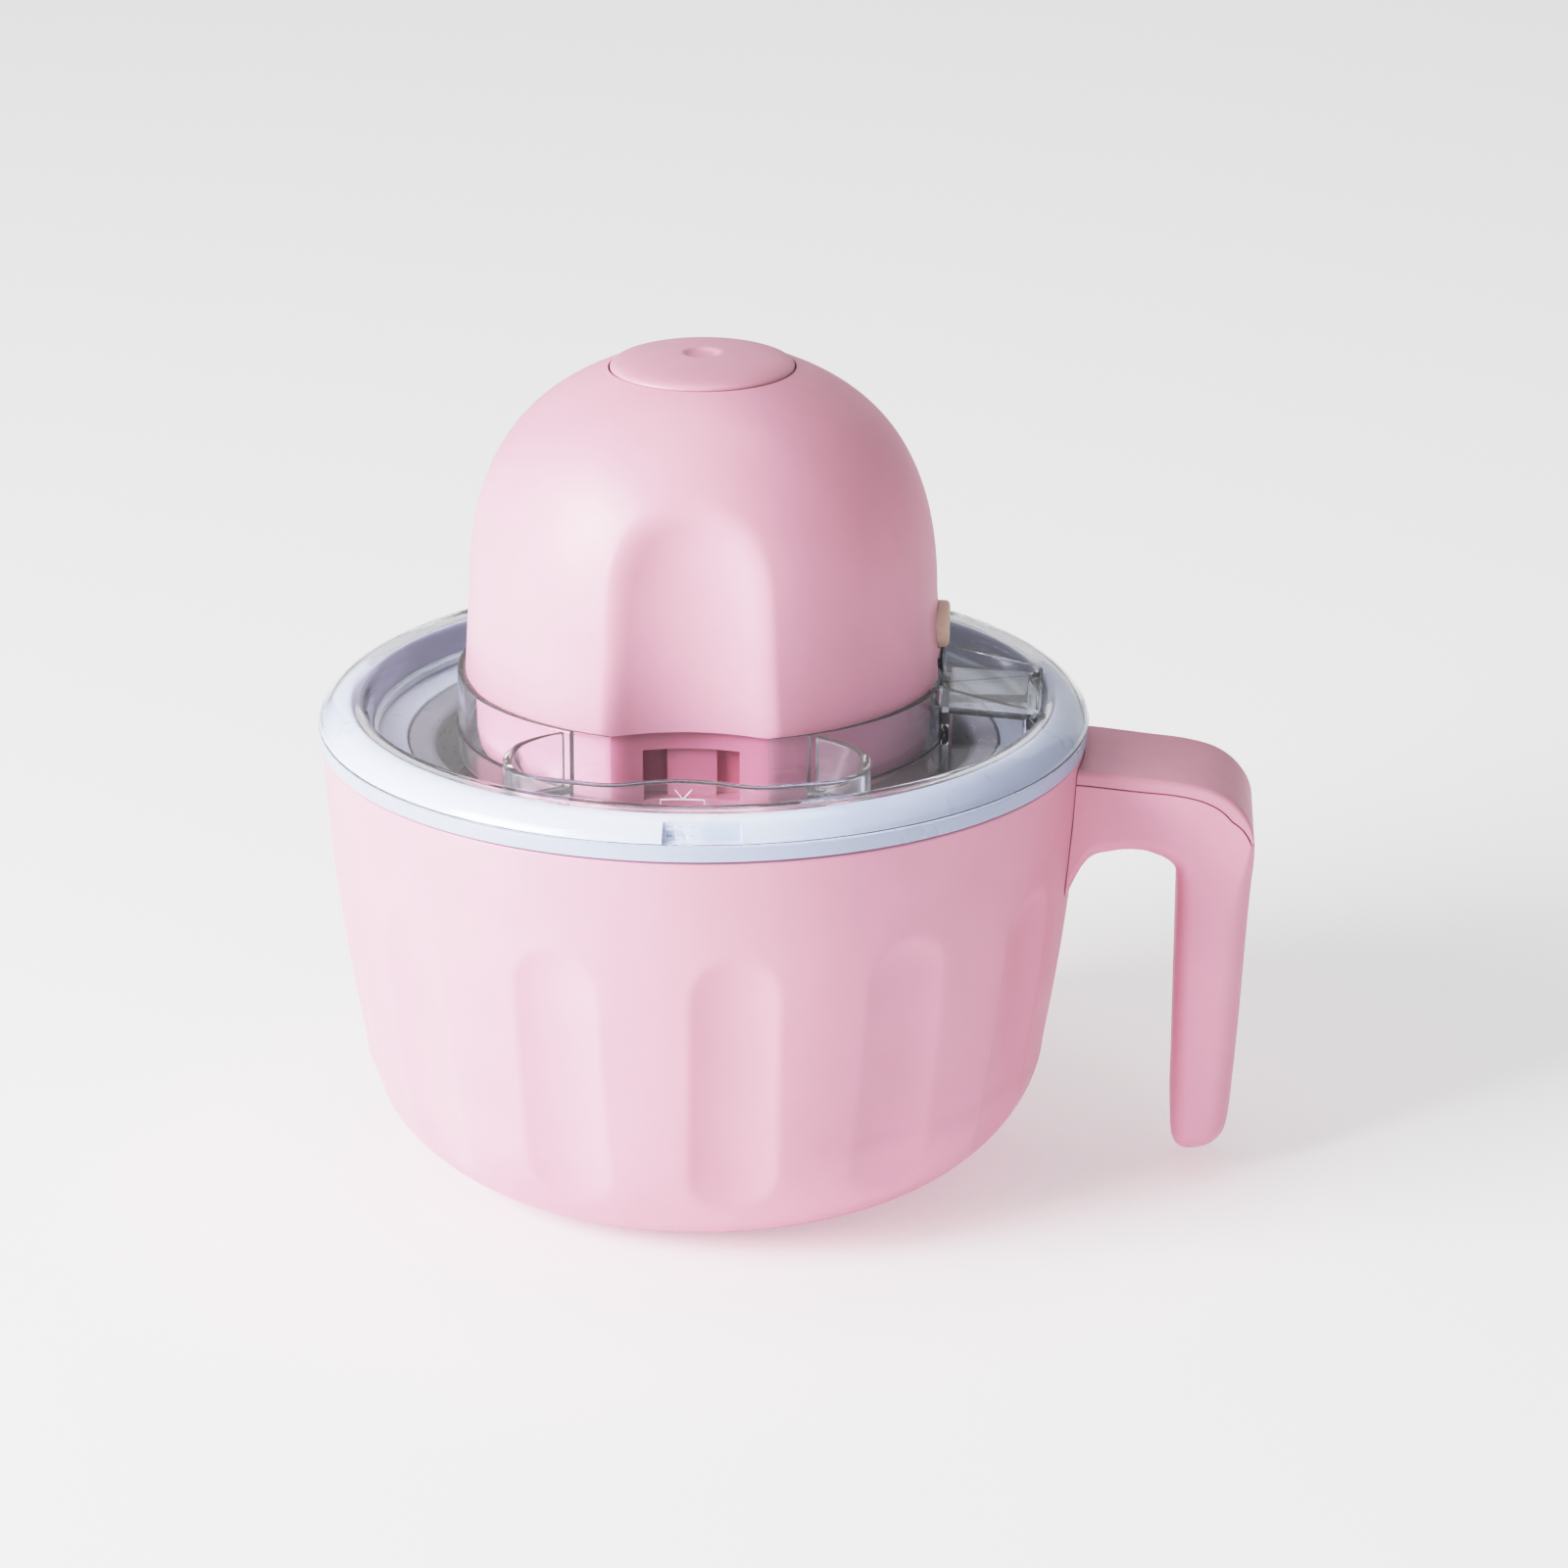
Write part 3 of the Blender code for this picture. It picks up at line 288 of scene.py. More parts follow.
def curve_through(points, steps):
    """Catmull-Rom curve through the points, ends included."""
    ends = [tuple(2 * a - b for a, b in zip(points[0], points[1])),
            tuple(2 * a - b for a, b in zip(points[-1], points[-2]))]
    path = [ends[0]] + list(points) + [ends[1]]
    out = []
    for k in range(1, len(path) - 2):
        p0, p1, p2, p3 = path[k - 1:k + 3]
        for s in range(steps):
            t = s / steps
            out.append(tuple(0.5 * (2 * b + (c - a) * t + (2 * a - 5 * b + 4 * c - d) * t * t
                                    + (3 * b - a - 3 * c + d) * t ** 3)
                             for a, b, c, d in zip(p0, p1, p2, p3)))
    out.append(tuple(points[-1]))
    return out


def normals_along(path):
    """Unit normals, to the right of the way along an open path."""
    out = []
    for k in range(len(path)):
        (ax, ay), (bx, by) = path[max(k - 1, 0)], path[min(k + 1, len(path) - 1)]
        size = hypot(bx - ax, by - ay)
        out.append(((by - ay) / size, (ax - bx) / size))
    return out


def offset_path(path, distance):
    """Open path moved to its right by a distance."""
    return [(x + nx * distance, y + ny * distance) for (x, y), (nx, ny) in zip(path, normals_along(path))]


def clamp(value):
    """The value, kept between 0 and 1."""
    return min(max(value, 0.0), 1.0)


def smooth_min(a, b, blend):
    """Smaller of two lengths, with a soft change from one to the other."""
    h = clamp(0.5 + 0.5 * (b - a) / blend)
    return b * (1 - h) + a * h - blend * h * (1 - h)


def polar(distance, angle):
    """Point at a distance from the axis, at an angle from +X in radians."""
    return distance * cos(angle), distance * sin(angle)


def arc_band(near, far, start, end, steps):
    """Outline of a strip round the axis between two radii and two azimuths."""
    angles = [radians(start + (end - start) * k / steps - 90) for k in range(steps + 1)]
    return [polar(far, angle) for angle in angles] + [polar(near, angle) for angle in reversed(angles)]


# ---------------------------------------------------------------- materials

class Nodes:
    """A material's node tree, with short calls for what the finishes share."""

    def __init__(self, name):
        self.mat = bpy.data.materials.new(name)
        self.mat.use_nodes = True
        self.tree = self.mat.node_tree
        self.shader = self.tree.nodes["Principled BSDF"]
        self.place = self.add("ShaderNodeTexCoord").outputs["Object"]

    def add(self, kind, **values):
        """New node of a kind, with its properties set."""
        node = self.tree.nodes.new(kind)
        for key, value in values.items():
            setattr(node, key, value)
        return node

    def link(self, start, end):
        self.tree.links.new(start, end)

    def noise(self, size_mm, detail=3.0, rough=0.5, stretch=(1, 1, 1)):
        """Noise whose blobs are about size_mm across."""
        place = self.add("ShaderNodeMapping")
        place.inputs["Scale"].default_value = stretch
        self.link(self.place, place.inputs["Vector"])
        node = self.add("ShaderNodeTexNoise")
        node.inputs["Scale"].default_value = 1000.0 / size_mm
        node.inputs["Detail"].default_value = detail
        node.inputs["Roughness"].default_value = rough
        self.link(place.outputs["Vector"], node.inputs["Vector"])
        return node.outputs["Fac"]

    def between(self, source, start, end):
        """A noise value spread over the range from start to end."""
        node = self.add("ShaderNodeMapRange")
        node.inputs["From Min"].default_value = 0.3
        node.inputs["From Max"].default_value = 0.7
        node.inputs["To Min"].default_value = start
        node.inputs["To Max"].default_value = end
        self.link(source, node.inputs["Value"])
        return node.outputs["Result"]

    def tint(self, source, color, spread):
        """Base colour that drifts between a darker and a lighter mix."""
        ramp = self.add("ShaderNodeValToRGB")
        for stop, place, side in zip(ramp.color_ramp.elements, (0.3, 0.7), (1 - spread, 1 + spread)):
            stop.position = place
            stop.color = (*(min(c * side, 1.0) for c in color), 1.0)
        self.link(source, ramp.inputs["Fac"])
        self.link(ramp.outputs["Color"], self.shader.inputs["Base Color"])

    def bump(self, source, depth_mm, strength=1.0, normal=None):
        """Relief from a noise value, on top of another relief where one is given."""
        node = self.add("ShaderNodeBump")
        node.inputs["Strength"].default_value = strength
        node.inputs["Distance"].default_value = depth_mm * MM
        self.link(source, node.inputs["Height"])
        if normal:
            self.link(normal, node.inputs["Normal"])
        self.link(node.outputs["Normal"], self.shader.inputs["Normal"])
        return node.outputs["Normal"]

    def set(self, **values):
        """Set shader inputs, with _ for the spaces in their names."""
        for key, value in values.items():
            self.shader.inputs[key.replace("_", " ")].default_value = value


def moulded(name, color, roughness, spread=0.03, grain_mm=0.7, depth_mm=0.012, **values):
    """Injection-moulded plastic: a fine spark-eroded grain over broad, faint flow marks."""
    nodes = Nodes(name)
    nodes.tint(nodes.noise(26.0, 4.0), color, spread)
    nodes.link(nodes.between(nodes.noise(9.0, 5.0), roughness - 0.04, roughness + 0.05),
               nodes.shader.inputs["Roughness"])
    waves = nodes.bump(nodes.noise(40.0, 1.0), 0.05, 0.5)
    nodes.bump(nodes.noise(grain_mm, 4.0, 0.6), depth_mm, 0.8, waves)
    nodes.set(**values)
    return nodes.mat


def metal(name, color, roughness, stretch, depth_mm=0.01, spread=0.05):
    """Drawn or turned metal: fine lines along one direction, with cloudy gloss."""
    nodes = Nodes(name)
    nodes.tint(nodes.noise(14.0, 4.0), color, spread)
    lines = nodes.noise(0.9, 3.0, 0.6, stretch)
    nodes.link(nodes.between(lines, roughness - 0.08, roughness + 0.1), nodes.shader.inputs["Roughness"])
    nodes.bump(lines, depth_mm, 0.6)
    nodes.set(Metallic=1.0)
    return nodes.mat


def clear_plastic(name):
    """Polished clear plastic with faint moulding waves."""
    nodes = Nodes(name)
    nodes.tint(nodes.noise(30.0), (0.955, 0.96, 0.975), 0.01)
    nodes.link(nodes.between(nodes.noise(12.0), 0.015, 0.05), nodes.shader.inputs["Roughness"])
    nodes.bump(nodes.noise(16.0, 2.0), 0.04, 0.5)
    nodes.set(Transmission_Weight=0.955, IOR=1.45)
    return nodes.mat


def board_finish(name):
    """Green solder mask with a faint pattern of tracks under it."""
    nodes = Nodes(name)
    cells = nodes.add("ShaderNodeTexBrick")
    cells.inputs["Scale"].default_value = 180.0
    cells.inputs["Color1"].default_value = (0.035, 0.20, 0.10, 1)
    cells.inputs["Color2"].default_value = (0.045, 0.24, 0.12, 1)
    cells.inputs["Mortar"].default_value = (0.07, 0.33, 0.17, 1)
    nodes.link(nodes.place, cells.inputs["Vector"])
    nodes.link(cells.outputs["Color"], nodes.shader.inputs["Base Color"])
    nodes.link(nodes.between(nodes.noise(2.0), 0.3, 0.45), nodes.shader.inputs["Roughness"])
    nodes.bump(nodes.noise(1.2), 0.02)
    return nodes.mat


PINK = (0.80, 0.445, 0.537)
MATERIALS = {
    "pink": moulded("pink_plastic", PINK, 0.42, Coat_Weight=0.12, Coat_Roughness=0.35),
    # Darker copy of the pink for the motor base: painted shade, standing in for the shade of the dome's
    # overhang and the light lost through the clear collar in front of it.
    "pink_base": moulded("painted_shade_pink_plastic", (0.65, 0.31, 0.40), 0.42,
                         Coat_Weight=0.1, Coat_Roughness=0.35),
    "pink_cap": moulded("dusky_pink_plastic", (0.74, 0.42, 0.50), 0.42,
                        Coat_Weight=0.1, Coat_Roughness=0.3),
    "band": moulded("pale_blue_white_plastic", (0.52, 0.57, 0.71), 0.3, 0.02, 0.6, 0.006),
    "white": moulded("white_plastic", (0.80, 0.80, 0.82), 0.4, 0.02),
    "grey": moulded("dark_grey_plastic", (0.20, 0.19, 0.21), 0.5, 0.06, 0.8, 0.03),
    "clear": clear_plastic("clear_plastic"),
    "frosted": moulded("frosted_plastic", (0.80, 0.76, 0.80), 0.5, 0.02, 0.4, 0.01),
    "silicone": moulded("milky_silicone", (0.70, 0.72, 0.76), 0.5, 0.03, 0.5, 0.01,
                        Subsurface_Weight=0.2),
    "rubber": moulded("black_rubber", (0.05, 0.05, 0.055), 0.8, 0.1, 0.5, 0.05),
    "aluminium": metal("turned_aluminium", (0.50, 0.47, 0.54), 0.32, (0.12, 0.12, 1.0)),
    "gel": moulded("frozen_gel", (0.35, 0.55, 0.75), 0.25, 0.12, 2.0, 0.1, Subsurface_Weight=0.3),
    "paddle": moulded("milky_white_plastic", (0.82, 0.81, 0.82), 0.38, 0.02, 0.6, 0.01,
                      Subsurface_Weight=0.1),
    "steel": metal("plated_steel", (0.60, 0.60, 0.62), 0.3, (1.0, 1.0, 0.2)),
    "brass": metal("sintered_bronze", (0.70, 0.50, 0.26), 0.4, (1.0, 1.0, 1.0), 0.03, 0.1),
    "nylon": moulded("natural_nylon", (0.84, 0.82, 0.75), 0.5, 0.03, 0.5, 0.01,
                     Subsurface_Weight=0.15),
    "black": moulded("black_plastic", (0.03, 0.03, 0.034), 0.45, 0.1, 0.6, 0.02),
    "board": board_finish("circuit_board"),
    "tan": moulded("warm_beige_plastic", (0.74, 0.60, 0.51), 0.5, 0.05, 0.5, 0.02),
}


def paint_cad():
    """Give every CAD node the finish of its material slot; most of them are replaced later."""
    for part in frame["record"]["subparts"]:
        thing = frame["nodes"][part["node"]]
        thing.data.materials.clear()
        thing.data.materials.append(MATERIALS[part["material_slot"]])


# ---------------------------------------------------------------- housing

def shell_outer(z):
    """Outer radius of the housing: a soft base corner, then a slightly bowed wall."""
    if z < CORNER_Z:
        drop = clamp((CORNER_Z - z) / (CORNER_Z - SHELL_LOW))
        return BASE_R + CORNER_R * (1 - drop ** CORNER_POWER) ** (1 / CORNER_POWER)
    up = z - CORNER_Z
    return BASE_R + CORNER_R + 0.19 * up - 0.0009 * up * up


def flute_depth(azimuth, z):
    """Depth of the round-ended scoops round the wall; the handle takes one scoop's place."""
    turns = (azimuth - FLUTE_AZ) / FLUTE_PITCH
    if round(turns) % FLUTE_PITCHES == HANDLE_FLUTE:
        return 0.0
    across = radians((turns - round(turns)) * FLUTE_PITCH) * shell_outer(z)
    beyond = max(z - (FLUTE_HIGH - FLUTE_HALF), FLUTE_LOW + FLUTE_HALF - z, 0.0)
    reach = hypot(across, beyond) / FLUTE_HALF
    if reach >= 1:
        return 0.0
    return FLUTE_DEPTH * (1 - reach ** 2)


def outer_shell():
    """Fluted wall, from the base's edge up to the rounded lip and down its own lining."""
    corner = [(90.0 - 90.0 * k / 24) for k in range(24)]
    corner = [(CORNER_Z - (CORNER_Z - SHELL_LOW) * sin(radians(a)) ** (2 / CORNER_POWER)) for a in corner]
    rows = int((SHELL_TOP - LIP_DROP - CORNER_Z) / 1.4)
    heights = corner + [CORNER_Z + (SHELL_TOP - LIP_DROP - CORNER_Z) * k / rows for k in range(rows + 1)]
    lining = [(shell_outer(z) - SHELL_WALL, z) for z in (104.0, 90.0, 76.0, 62.0, 48.0)]
    lining += [(81.4, 34.0), (78.0, 22.0), (71.0, 13.5), (60.0, 8.0), (COVER_R + 0.5, 5.2)]
    edge = shell_outer(SHELL_TOP)
    lip = rounded([(edge, 100.0), (edge, SHELL_TOP), (edge - SHELL_WALL, SHELL_TOP),
                   (edge - SHELL_WALL, 100.0)], 0.8)
    lip = [p for p in lip if p[1] > SHELL_TOP - 1.0]

    def outline(angle):
        azimuth = degrees(angle) + 90
        wall = [(shell_outer(z) - flute_depth(azimuth, z), z) for z in heights]
        return [(COVER_R + 0.5, SHELL_LOW)] + wall + lip + lining

    steps = FLUTE_PITCHES * 40
    angles = [radians(FLUTE_AZ - 90 + 360 * k / steps) for k in range(steps)]
    shell = solid("housing_shell", spin_at(outline, angles))
    dress(shell, MATERIALS["pink"], "housing", "pink", "outer_shell")


def sleeve():
    """Inner well that the freezer bowl stands in."""
    outline = [(0, 12.2), (38.0, 12.2), (38.0, 5.2), (45.5, 5.2), (45.5, 12.2), (62.0, 12.2), (71.5, 18.0),
               (79.0, 31.0), (86.2, 109.0), (90.4, 109.0), (90.4, 111.0), (85.2, 111.0), (77.8, 31.6),
               (70.8, 19.8), (62.0, 14.0), (0, 14.0)]
    well = solid("inner_well", spin(rounded(outline, 3.0)))
    dress(well, MATERIALS["white"], "housing", "white", "inner_sleeve")


def screw(name, at, head_z, length, body, node):
    """Pan-head screw driven upwards, with a cross recess in its head."""
    low_z, tip_z = head_z - SCREW_HEAD_H, head_z + length
    outline = [(0, low_z), (SCREW_HEAD_R * 0.7, low_z), (SCREW_HEAD_R, head_z - SCREW_HEAD_H * 0.5),
               (SCREW_HEAD_R, head_z), (SCREW_SHANK_R, head_z), (SCREW_SHANK_R, tip_z - 0.8), (0, tip_z)]
    thing = solid(name, spin(rounded(outline, 0.8), 40, at))
    arm, width, depth = SCREW_HEAD_R * 0.5, SCREW_HEAD_R * 0.12, SCREW_HEAD_H * 0.55
    for dx, dy in ((arm, width), (width, arm)):
        cut(thing, block((at[0] - dx, at[1] - dy, low_z - 1), (at[0] + dx, at[1] + dy, low_z + depth)))
    dress(thing, MATERIALS["steel"], body, "steel", node)


def screw_hole(at, start, seat, end):
    """Stepped hole for a screw, from below: room for the head up to the seat, then for the shank."""
    wide, narrow = SCREW_HEAD_R + 0.5, SCREW_SHANK_R + 0.4
    bore = [(0, start), (wide, start), (wide, seat), (narrow, seat), (narrow, end), (0, end)]
    return spin(bore, 32, at)


def base_plate():
    """Round cover under the housing, with its three screws."""
    spots = [polar(BASE_SCREW_R, radians(-90 + 120 * k)) for k in range(3)]
    outline = [(0, 2.3), (PAD_R + SEAM, 2.3), (PAD_R + SEAM, 1.3), (COVER_R, 1.3), (COVER_R, 4.7), (0, 4.7)]
    cover = solid("base_plate", spin(rounded(outline, 0.5)))
    cut(cover, *[screw_hole(at, 1.0, 2.9, 5.0) for at in spots])
    dress(cover, MATERIALS["grey"], "housing", "grey", "base_cover")
    for k, at in enumerate(spots, 1):
        screw("base_plate_screw_%d" % k, at, 2.7, 7.2, "housing", "base_screw_%d" % k)


def foot_pad():
    """Rubber pad with two ring grooves in its tread."""
    tread = [(0, 0)]
    for groove in (11.0, 23.0):
        tread += [(groove - 1.0, 0), (groove - 0.6, 0.5), (groove + 0.6, 0.5), (groove + 1.0, 0)]
    tread += [(PAD_R - 1.0, 0), (PAD_R, 0.8), (PAD_R, 1.95), (0, 1.95)]
    pad = solid("rubber_foot_pad", spin(rounded(tread, 0.5)))
    dress(pad, MATERIALS["rubber"], "housing", "rubber", "base_pad")


# ---------------------------------------------------------------- handle

HANDLE_OUTER = [(88.0, 110.0), (97.0, 109.3), (109.0, 107.9), (119.0, 106.7), (126.6, 104.6), (132.0, 100.8),
                (135.4, 95.0), (136.1, 87.0), (135.5, 78.0), (134.5, 62.0), (133.5, 45.0), (132.3, 28.0),
                (131.0, 15.0), (129.0, 10.2), (125.6, 7.2)]
HANDLE_INNER = [(88.0, 71.0), (94.6, 84.6), (101.0, 87.6), (107.5, 88.1), (112.0, 87.0), (115.2, 85.2),
                (116.9, 82.8), (117.3, 78.0), (117.3, 71.0), (117.2, 58.0), (117.1, 43.0), (117.0, 27.0),
                (117.0, 13.5), (118.4, 8.4), (121.8, 6.3)]
CAP_END = 6.5                    # the top cap ends half-way between outline points 6 and 7


def section(outer, inner, half, outer_corner, inner_corner, steps=6):
    """Rounded rectangle spanned between an outer and an inner edge point."""
    (x0, z0), (x1, z1) = outer, inner
    depth = hypot(x1 - x0, z1 - z0)
    ux, uz = (x1 - x0) / depth, (z1 - z0) / depth
    ring = []
    for k, (side, far) in enumerate(((1, True), (-1, True), (-1, False), (1, False))):
        corner = min(inner_corner if far else outer_corner, depth * 0.42)
        centre_y = side * (half - corner)
        centre_d = depth - corner if far else corner
        for step in range(steps + 1):
            angle = radians(90 * k + 90 * step / steps)
            y, d = centre_y + corner * cos(angle), centre_d + corner * sin(angle)
            ring.append((x0 + ux * d, y, z0 + uz * d))
    return ring


def handle_half(mark):
    """Half the handle's width: widest at the housing, narrower down the grip, round at the tip."""
    tip = max(0.0, (mark - 11.5) / 2.5)
    return (HANDLE_HALF - 3.0 * clamp((mark - 4) / 7)) * sqrt(max(1 - 0.8 * tip * tip, 0.05))


def handle():
    """Arm and grip in one piece, and the cap that lies along the top of the arm."""
    steps = 8
    outer, inner = curve_through(HANDLE_OUTER, steps), curve_through(HANDLE_INNER, steps)
    body, cap = [], []
    for k, (o, i) in enumerate(zip(outer, inner)):
        mark = k / steps
        depth = hypot(i[0] - o[0], i[1] - o[1])
        ux, uz = (i[0] - o[0]) / depth, (i[1] - o[1]) / depth
        half = handle_half(mark)
        if mark <= CAP_END:
            drop = CAP_DROP * clamp((CAP_END + 0.3 - mark) / 1.5)
            seam = (o[0] + ux * drop, o[1] + uz * drop)
            below = (o[0] + ux * (drop + SEAM), o[1] + uz * (drop + SEAM))
            cap.append(section(o, seam, half, 1.6, 0.25))
            body.append(section(below, i, half, 0.25, 5.0))
        else:
            body.append(section(o, i, half, 1.5 + 4.5 * clamp((mark - CAP_END) / 2), 5.5))
    arm = solid("handle_arm", loft(body))
    top = solid("handle_top_cap", loft(cap))
    start, end, rim = 40.0, 125.0, RIM_R + 0.3
    wall = [(shell_outer(z) + SEAM, z) for z in (start, 60.0, 80.0, 95.0, SHELL_TOP)]
    wall = [(0, start)] + wall + [(rim, SHELL_TOP), (rim, end), (0, end)]
    for thing in (arm, top):
        cut(thing, spin(wall, TURNED))
    dress(arm, MATERIALS["pink"], "housing", "pink", "handle")
    dress(top, MATERIALS["pink_cap"], "housing", "pink_cap", "handle_cap")


# ---------------------------------------------------------------- freezer bowl

def bowl_outer():
    """Plastic outside of the bowl, with the plug of its filling hole underneath."""
    outline = [(0, 15.3), (61.6, 15.3), (69.6, 20.6), (76.4, 32.0), (83.6, 109.7), (81.6, 109.7),
               (74.4, 32.6), (68.4, 22.6), (61.2, 17.3), (0, 17.3)]
    shell = solid("bowl_outer", spin(rounded(outline, 3.0)))
    plug_at = [(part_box("fill_plug")[0][k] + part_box("fill_plug")[1][k]) / 2 / MM for k in range(2)]
    cut(shell, spin([(0, 15.0), (5.8, 15.0), (5.8, 18.0), (0, 18.0)], 48, plug_at))
    dress(shell, MATERIALS["white"], "freezer_bowl", "white", "bowl_shell")
    outline = [(0, 14.6), (7.6, 14.6), (7.6, 15.05), (5.4, 15.05), (5.4, 17.5), (0, 17.5)]
    plug = solid("gel_fill_plug", spin(rounded(outline, 0.3), 64, plug_at))
    dress(plug, MATERIALS["grey"], "freezer_bowl", "grey", "fill_plug")


def bowl_rim():
    """Pale rim with a rounded crest, and a bayonet slot in it in front and behind."""
    crest = curve_through([(93.2, 116.6), (92.3, 118.0), (89.8, 120.2), (87.2, 121.3), (85.9, 120.7),
                           (84.8, 117.4), (83.2, 112.4)], 6)
    outline = [(RIM_R, RIM_LOW), (RIM_R, RIM_BAND_TOP), (93.2, RIM_BAND_TOP)] + crest
    outline += [(83.2, 111.9), (73.2, 111.3), (73.2, 110.1), (84.4, 110.1), (85.4, RIM_LOW)]
    rim = solid("bowl_top_rim", spin(rounded(outline, 0.6)))
    for side in (0, 180):
        slot = arc_band(SLOT_R - 0.2, SLOT_R + 7.0, side + SLOT_AZ[0], side + SLOT_AZ[1], 12)
        cut(rim, prism(slot, RIM_BAND_TOP + 0.25, 122.0))
    dress(rim, MATERIALS["band"], "freezer_bowl", "band", "bowl_rim")


def bowl_inside():
    """Bare metal liner, with the pin in its floor that the paddle turns on."""
    outline = [(0, 26.5), (45.0, 26.5), (57.0, 30.0), (63.3, 41.0), (67.4, 109.6), (72.8, 109.6),
               (72.8, 111.0), (66.0, 111.0), (61.8, 41.6), (56.0, 31.4), (45.0, 28.0), (5.0, 28.0),
               (4.2, 32.2), (0, 32.2)]
    liner = solid("bowl_inside", spin(rounded(outline, 6.0, 6, 14.0)))
    dress(liner, MATERIALS["aluminium"], "freezer_bowl", "aluminium", "bowl_liner")


def paddle():
    """Flat stirring frame on a round hub, with a flat tongue on top for the drive coupling."""
    outline = [(-54.5, 32.6), (54.5, 32.6), (59.2, 44.0), (61.4, 92.0), (0, 94.0), (-61.4, 92.0),
               (-59.2, 44.0)]
    holes = []
    for side in (-1, 1):
        for bottom, top in ((39.5, 60.0), (65.5, 86.0)):
            holes.append([(9.5 * side, bottom), (51.8 * side, bottom), (53.6 * side, top), (9.5 * side, top)])
    frame_bar = solid("stirring_paddle", upright(rounded_plan(outline, 2.5), 1.7))
    cut(frame_bar, *[upright(rounded_plan(hole, 3.0), 4.0) for hole in holes])
    hub = [(0, 36.0), (5.2, 36.0), (5.4, 30.0), (7.0, 30.0), (7.0, 90.0), (5.6, 94.8), (0, 94.8)]
    join(frame_bar, spin(rounded(hub, 0.6), 64))
    cut(frame_bar, spin([(0, 25.0), (5.0, 25.0), (5.0, 34.0), (0, 34.0)], 64))
    join(frame_bar, block((-4.0, -1.5, 92.0), (4.0, 1.5, 100.3)))
    bevel(frame_bar, 0.4)
    dress(frame_bar, MATERIALS["paddle"], "stirrer", "paddle", "paddle")


# ---------------------------------------------------------------- lid

def grip_radius(angle):
    """Distance from the axis to the finger groove's floor, front and back alike."""
    s, c = abs(sin(angle)), abs(cos(angle))
    if s < 0.5:
        return NO_GRIP
    if c < 1e-4:
        return GRIP_Y
    under = s * s - 4 * GRIP_CURVE * GRIP_Y * c * c
    if under <= 0:
        return NO_GRIP
    return (s - sqrt(under)) / (2 * GRIP_CURVE * c * c)


def grip_scoop(z):
    """Extra depth that rounds the upper end of the finger groove."""
    rise = clamp((z - SCOOP_LOW) / (SCOOP_HIGH - SCOOP_LOW))
    return SCOOP_DEPTH * sin(pi * rise ** 2)


def grip_front(offset, half_angle=31.0, limit=58.0, steps=40):
    """Front of the motor base seen from above, moved out by an offset, from -X to +X."""
    out = []
    for k in range(steps + 1):
        angle = radians(-90 - half_angle + 2 * half_angle * k / steps)
        r = min(grip_radius(angle), limit) + offset
        out.append((r * cos(angle), r * sin(angle)))
    return out


def chute_path():
    """Centre line of the chute's wall, from inside the collar on its left round to its right."""
    half = [(-30.5, -53.2), (-36.0, -55.9), (-40.8, -60.0), (-42.6, -65.8), (-41.3, -71.0), (-36.3, -74.8),
            (-27.0, -77.0), (-17.0, -78.4), (-8.0, -76.7), (0.0, -75.9)]
    return curve_through(half + [(-x, y) for x, y in reversed(half[:-1])], 8)


def chute_top(x, y):
    """The chute's upper edge is a plane that climbs towards the collar."""
    return CHUTE_LOW + CHUTE_SLOPE * (y + CHUTE_FRONT)


def wall_along(path, foot, wall, top_at):
    """Upright wall along a path, with a rounded upper edge."""
    half, edge = wall / 2, 0.7
    rings = []
    for (x, y), (nx, ny) in zip(path, normals_along(path)):
        shoulder = top_at(x, y) - edge
        ring = [(half, foot), (half, shoulder)]
        ring += [(half * cos(radians(a)), shoulder + edge * sin(radians(a))) for a in (25, 50, 90, 130, 155)]
        ring += [(-half, shoulder), (-half, foot)]
        rings.append([(x + nx * d, y + ny * d, z) for d, z in ring])
    return loft(rings)


def chute_mark(path, stroke):
    """Thin frosted stroke through (x, z) points on the outer face of the chute's front wall."""
    front = [p for p in offset_path(path, CHUTE_WALL / 2) if abs(p[0]) < 20 and p[1] < -70]
    fine = []
    for (x0, z0), (x1, z1) in zip(stroke, stroke[1:]):
        fine += [(x0 + (x1 - x0) * k / 4, z0 + (z1 - z0) * k / 4) for k in range(4)]
    fine.append(stroke[-1])
    across = ((0.18, -0.02), (-0.18, -0.02), (-0.14, -0.2), (0.14, -0.2))
    rings = []
    for (x, z), (nx, nz) in zip(fine, normals_along(fine)):
        (x0, y0), (x1, y1) = next(pair for pair in zip(front, front[1:]) if pair[1][0] >= x)
        y = y0 + (y1 - y0) * (x - x0) / (x1 - x0)
        rings.append([(x + nx * side, y + depth, z + nz * side) for side, depth in across])
    return loft(rings)


def lid_outline():
    """Turned part of the lid: rounded edge over the rim, floor, collar and the well inside it."""
    over = curve_through([(95.0, 117.2), (94.2, 119.0), (91.4, 121.8), (87.5, 123.6), (85.0, 123.3),
                          (83.4, 120.9), (82.2, 117.6)], 7)
    under = curve_through([(82.2, 114.9), (83.9, 117.4), (85.1, 121.0), (87.0, 121.95), (90.4, 120.5),
                           (92.9, 118.1), (93.7, 116.65)], 7)
    well = [(81.5, FLOOR_TOP), (COLLAR_R, FLOOR_TOP), (COLLAR_R, COLLAR_TOP), (WELL_R, COLLAR_TOP),
            (WELL_R, WELL_TOP), (WELL_HOLE, WELL_TOP), (WELL_HOLE, WELL_LOW), (WELL_R - 0.6, WELL_LOW),
            (COLLAR_R, WELL_LOW + 1.4), (COLLAR_R, FLOOR_LOW), (81.6, FLOOR_LOW)]
    return rounded([(95.0, 116.65)] + over + well + under, 0.7)


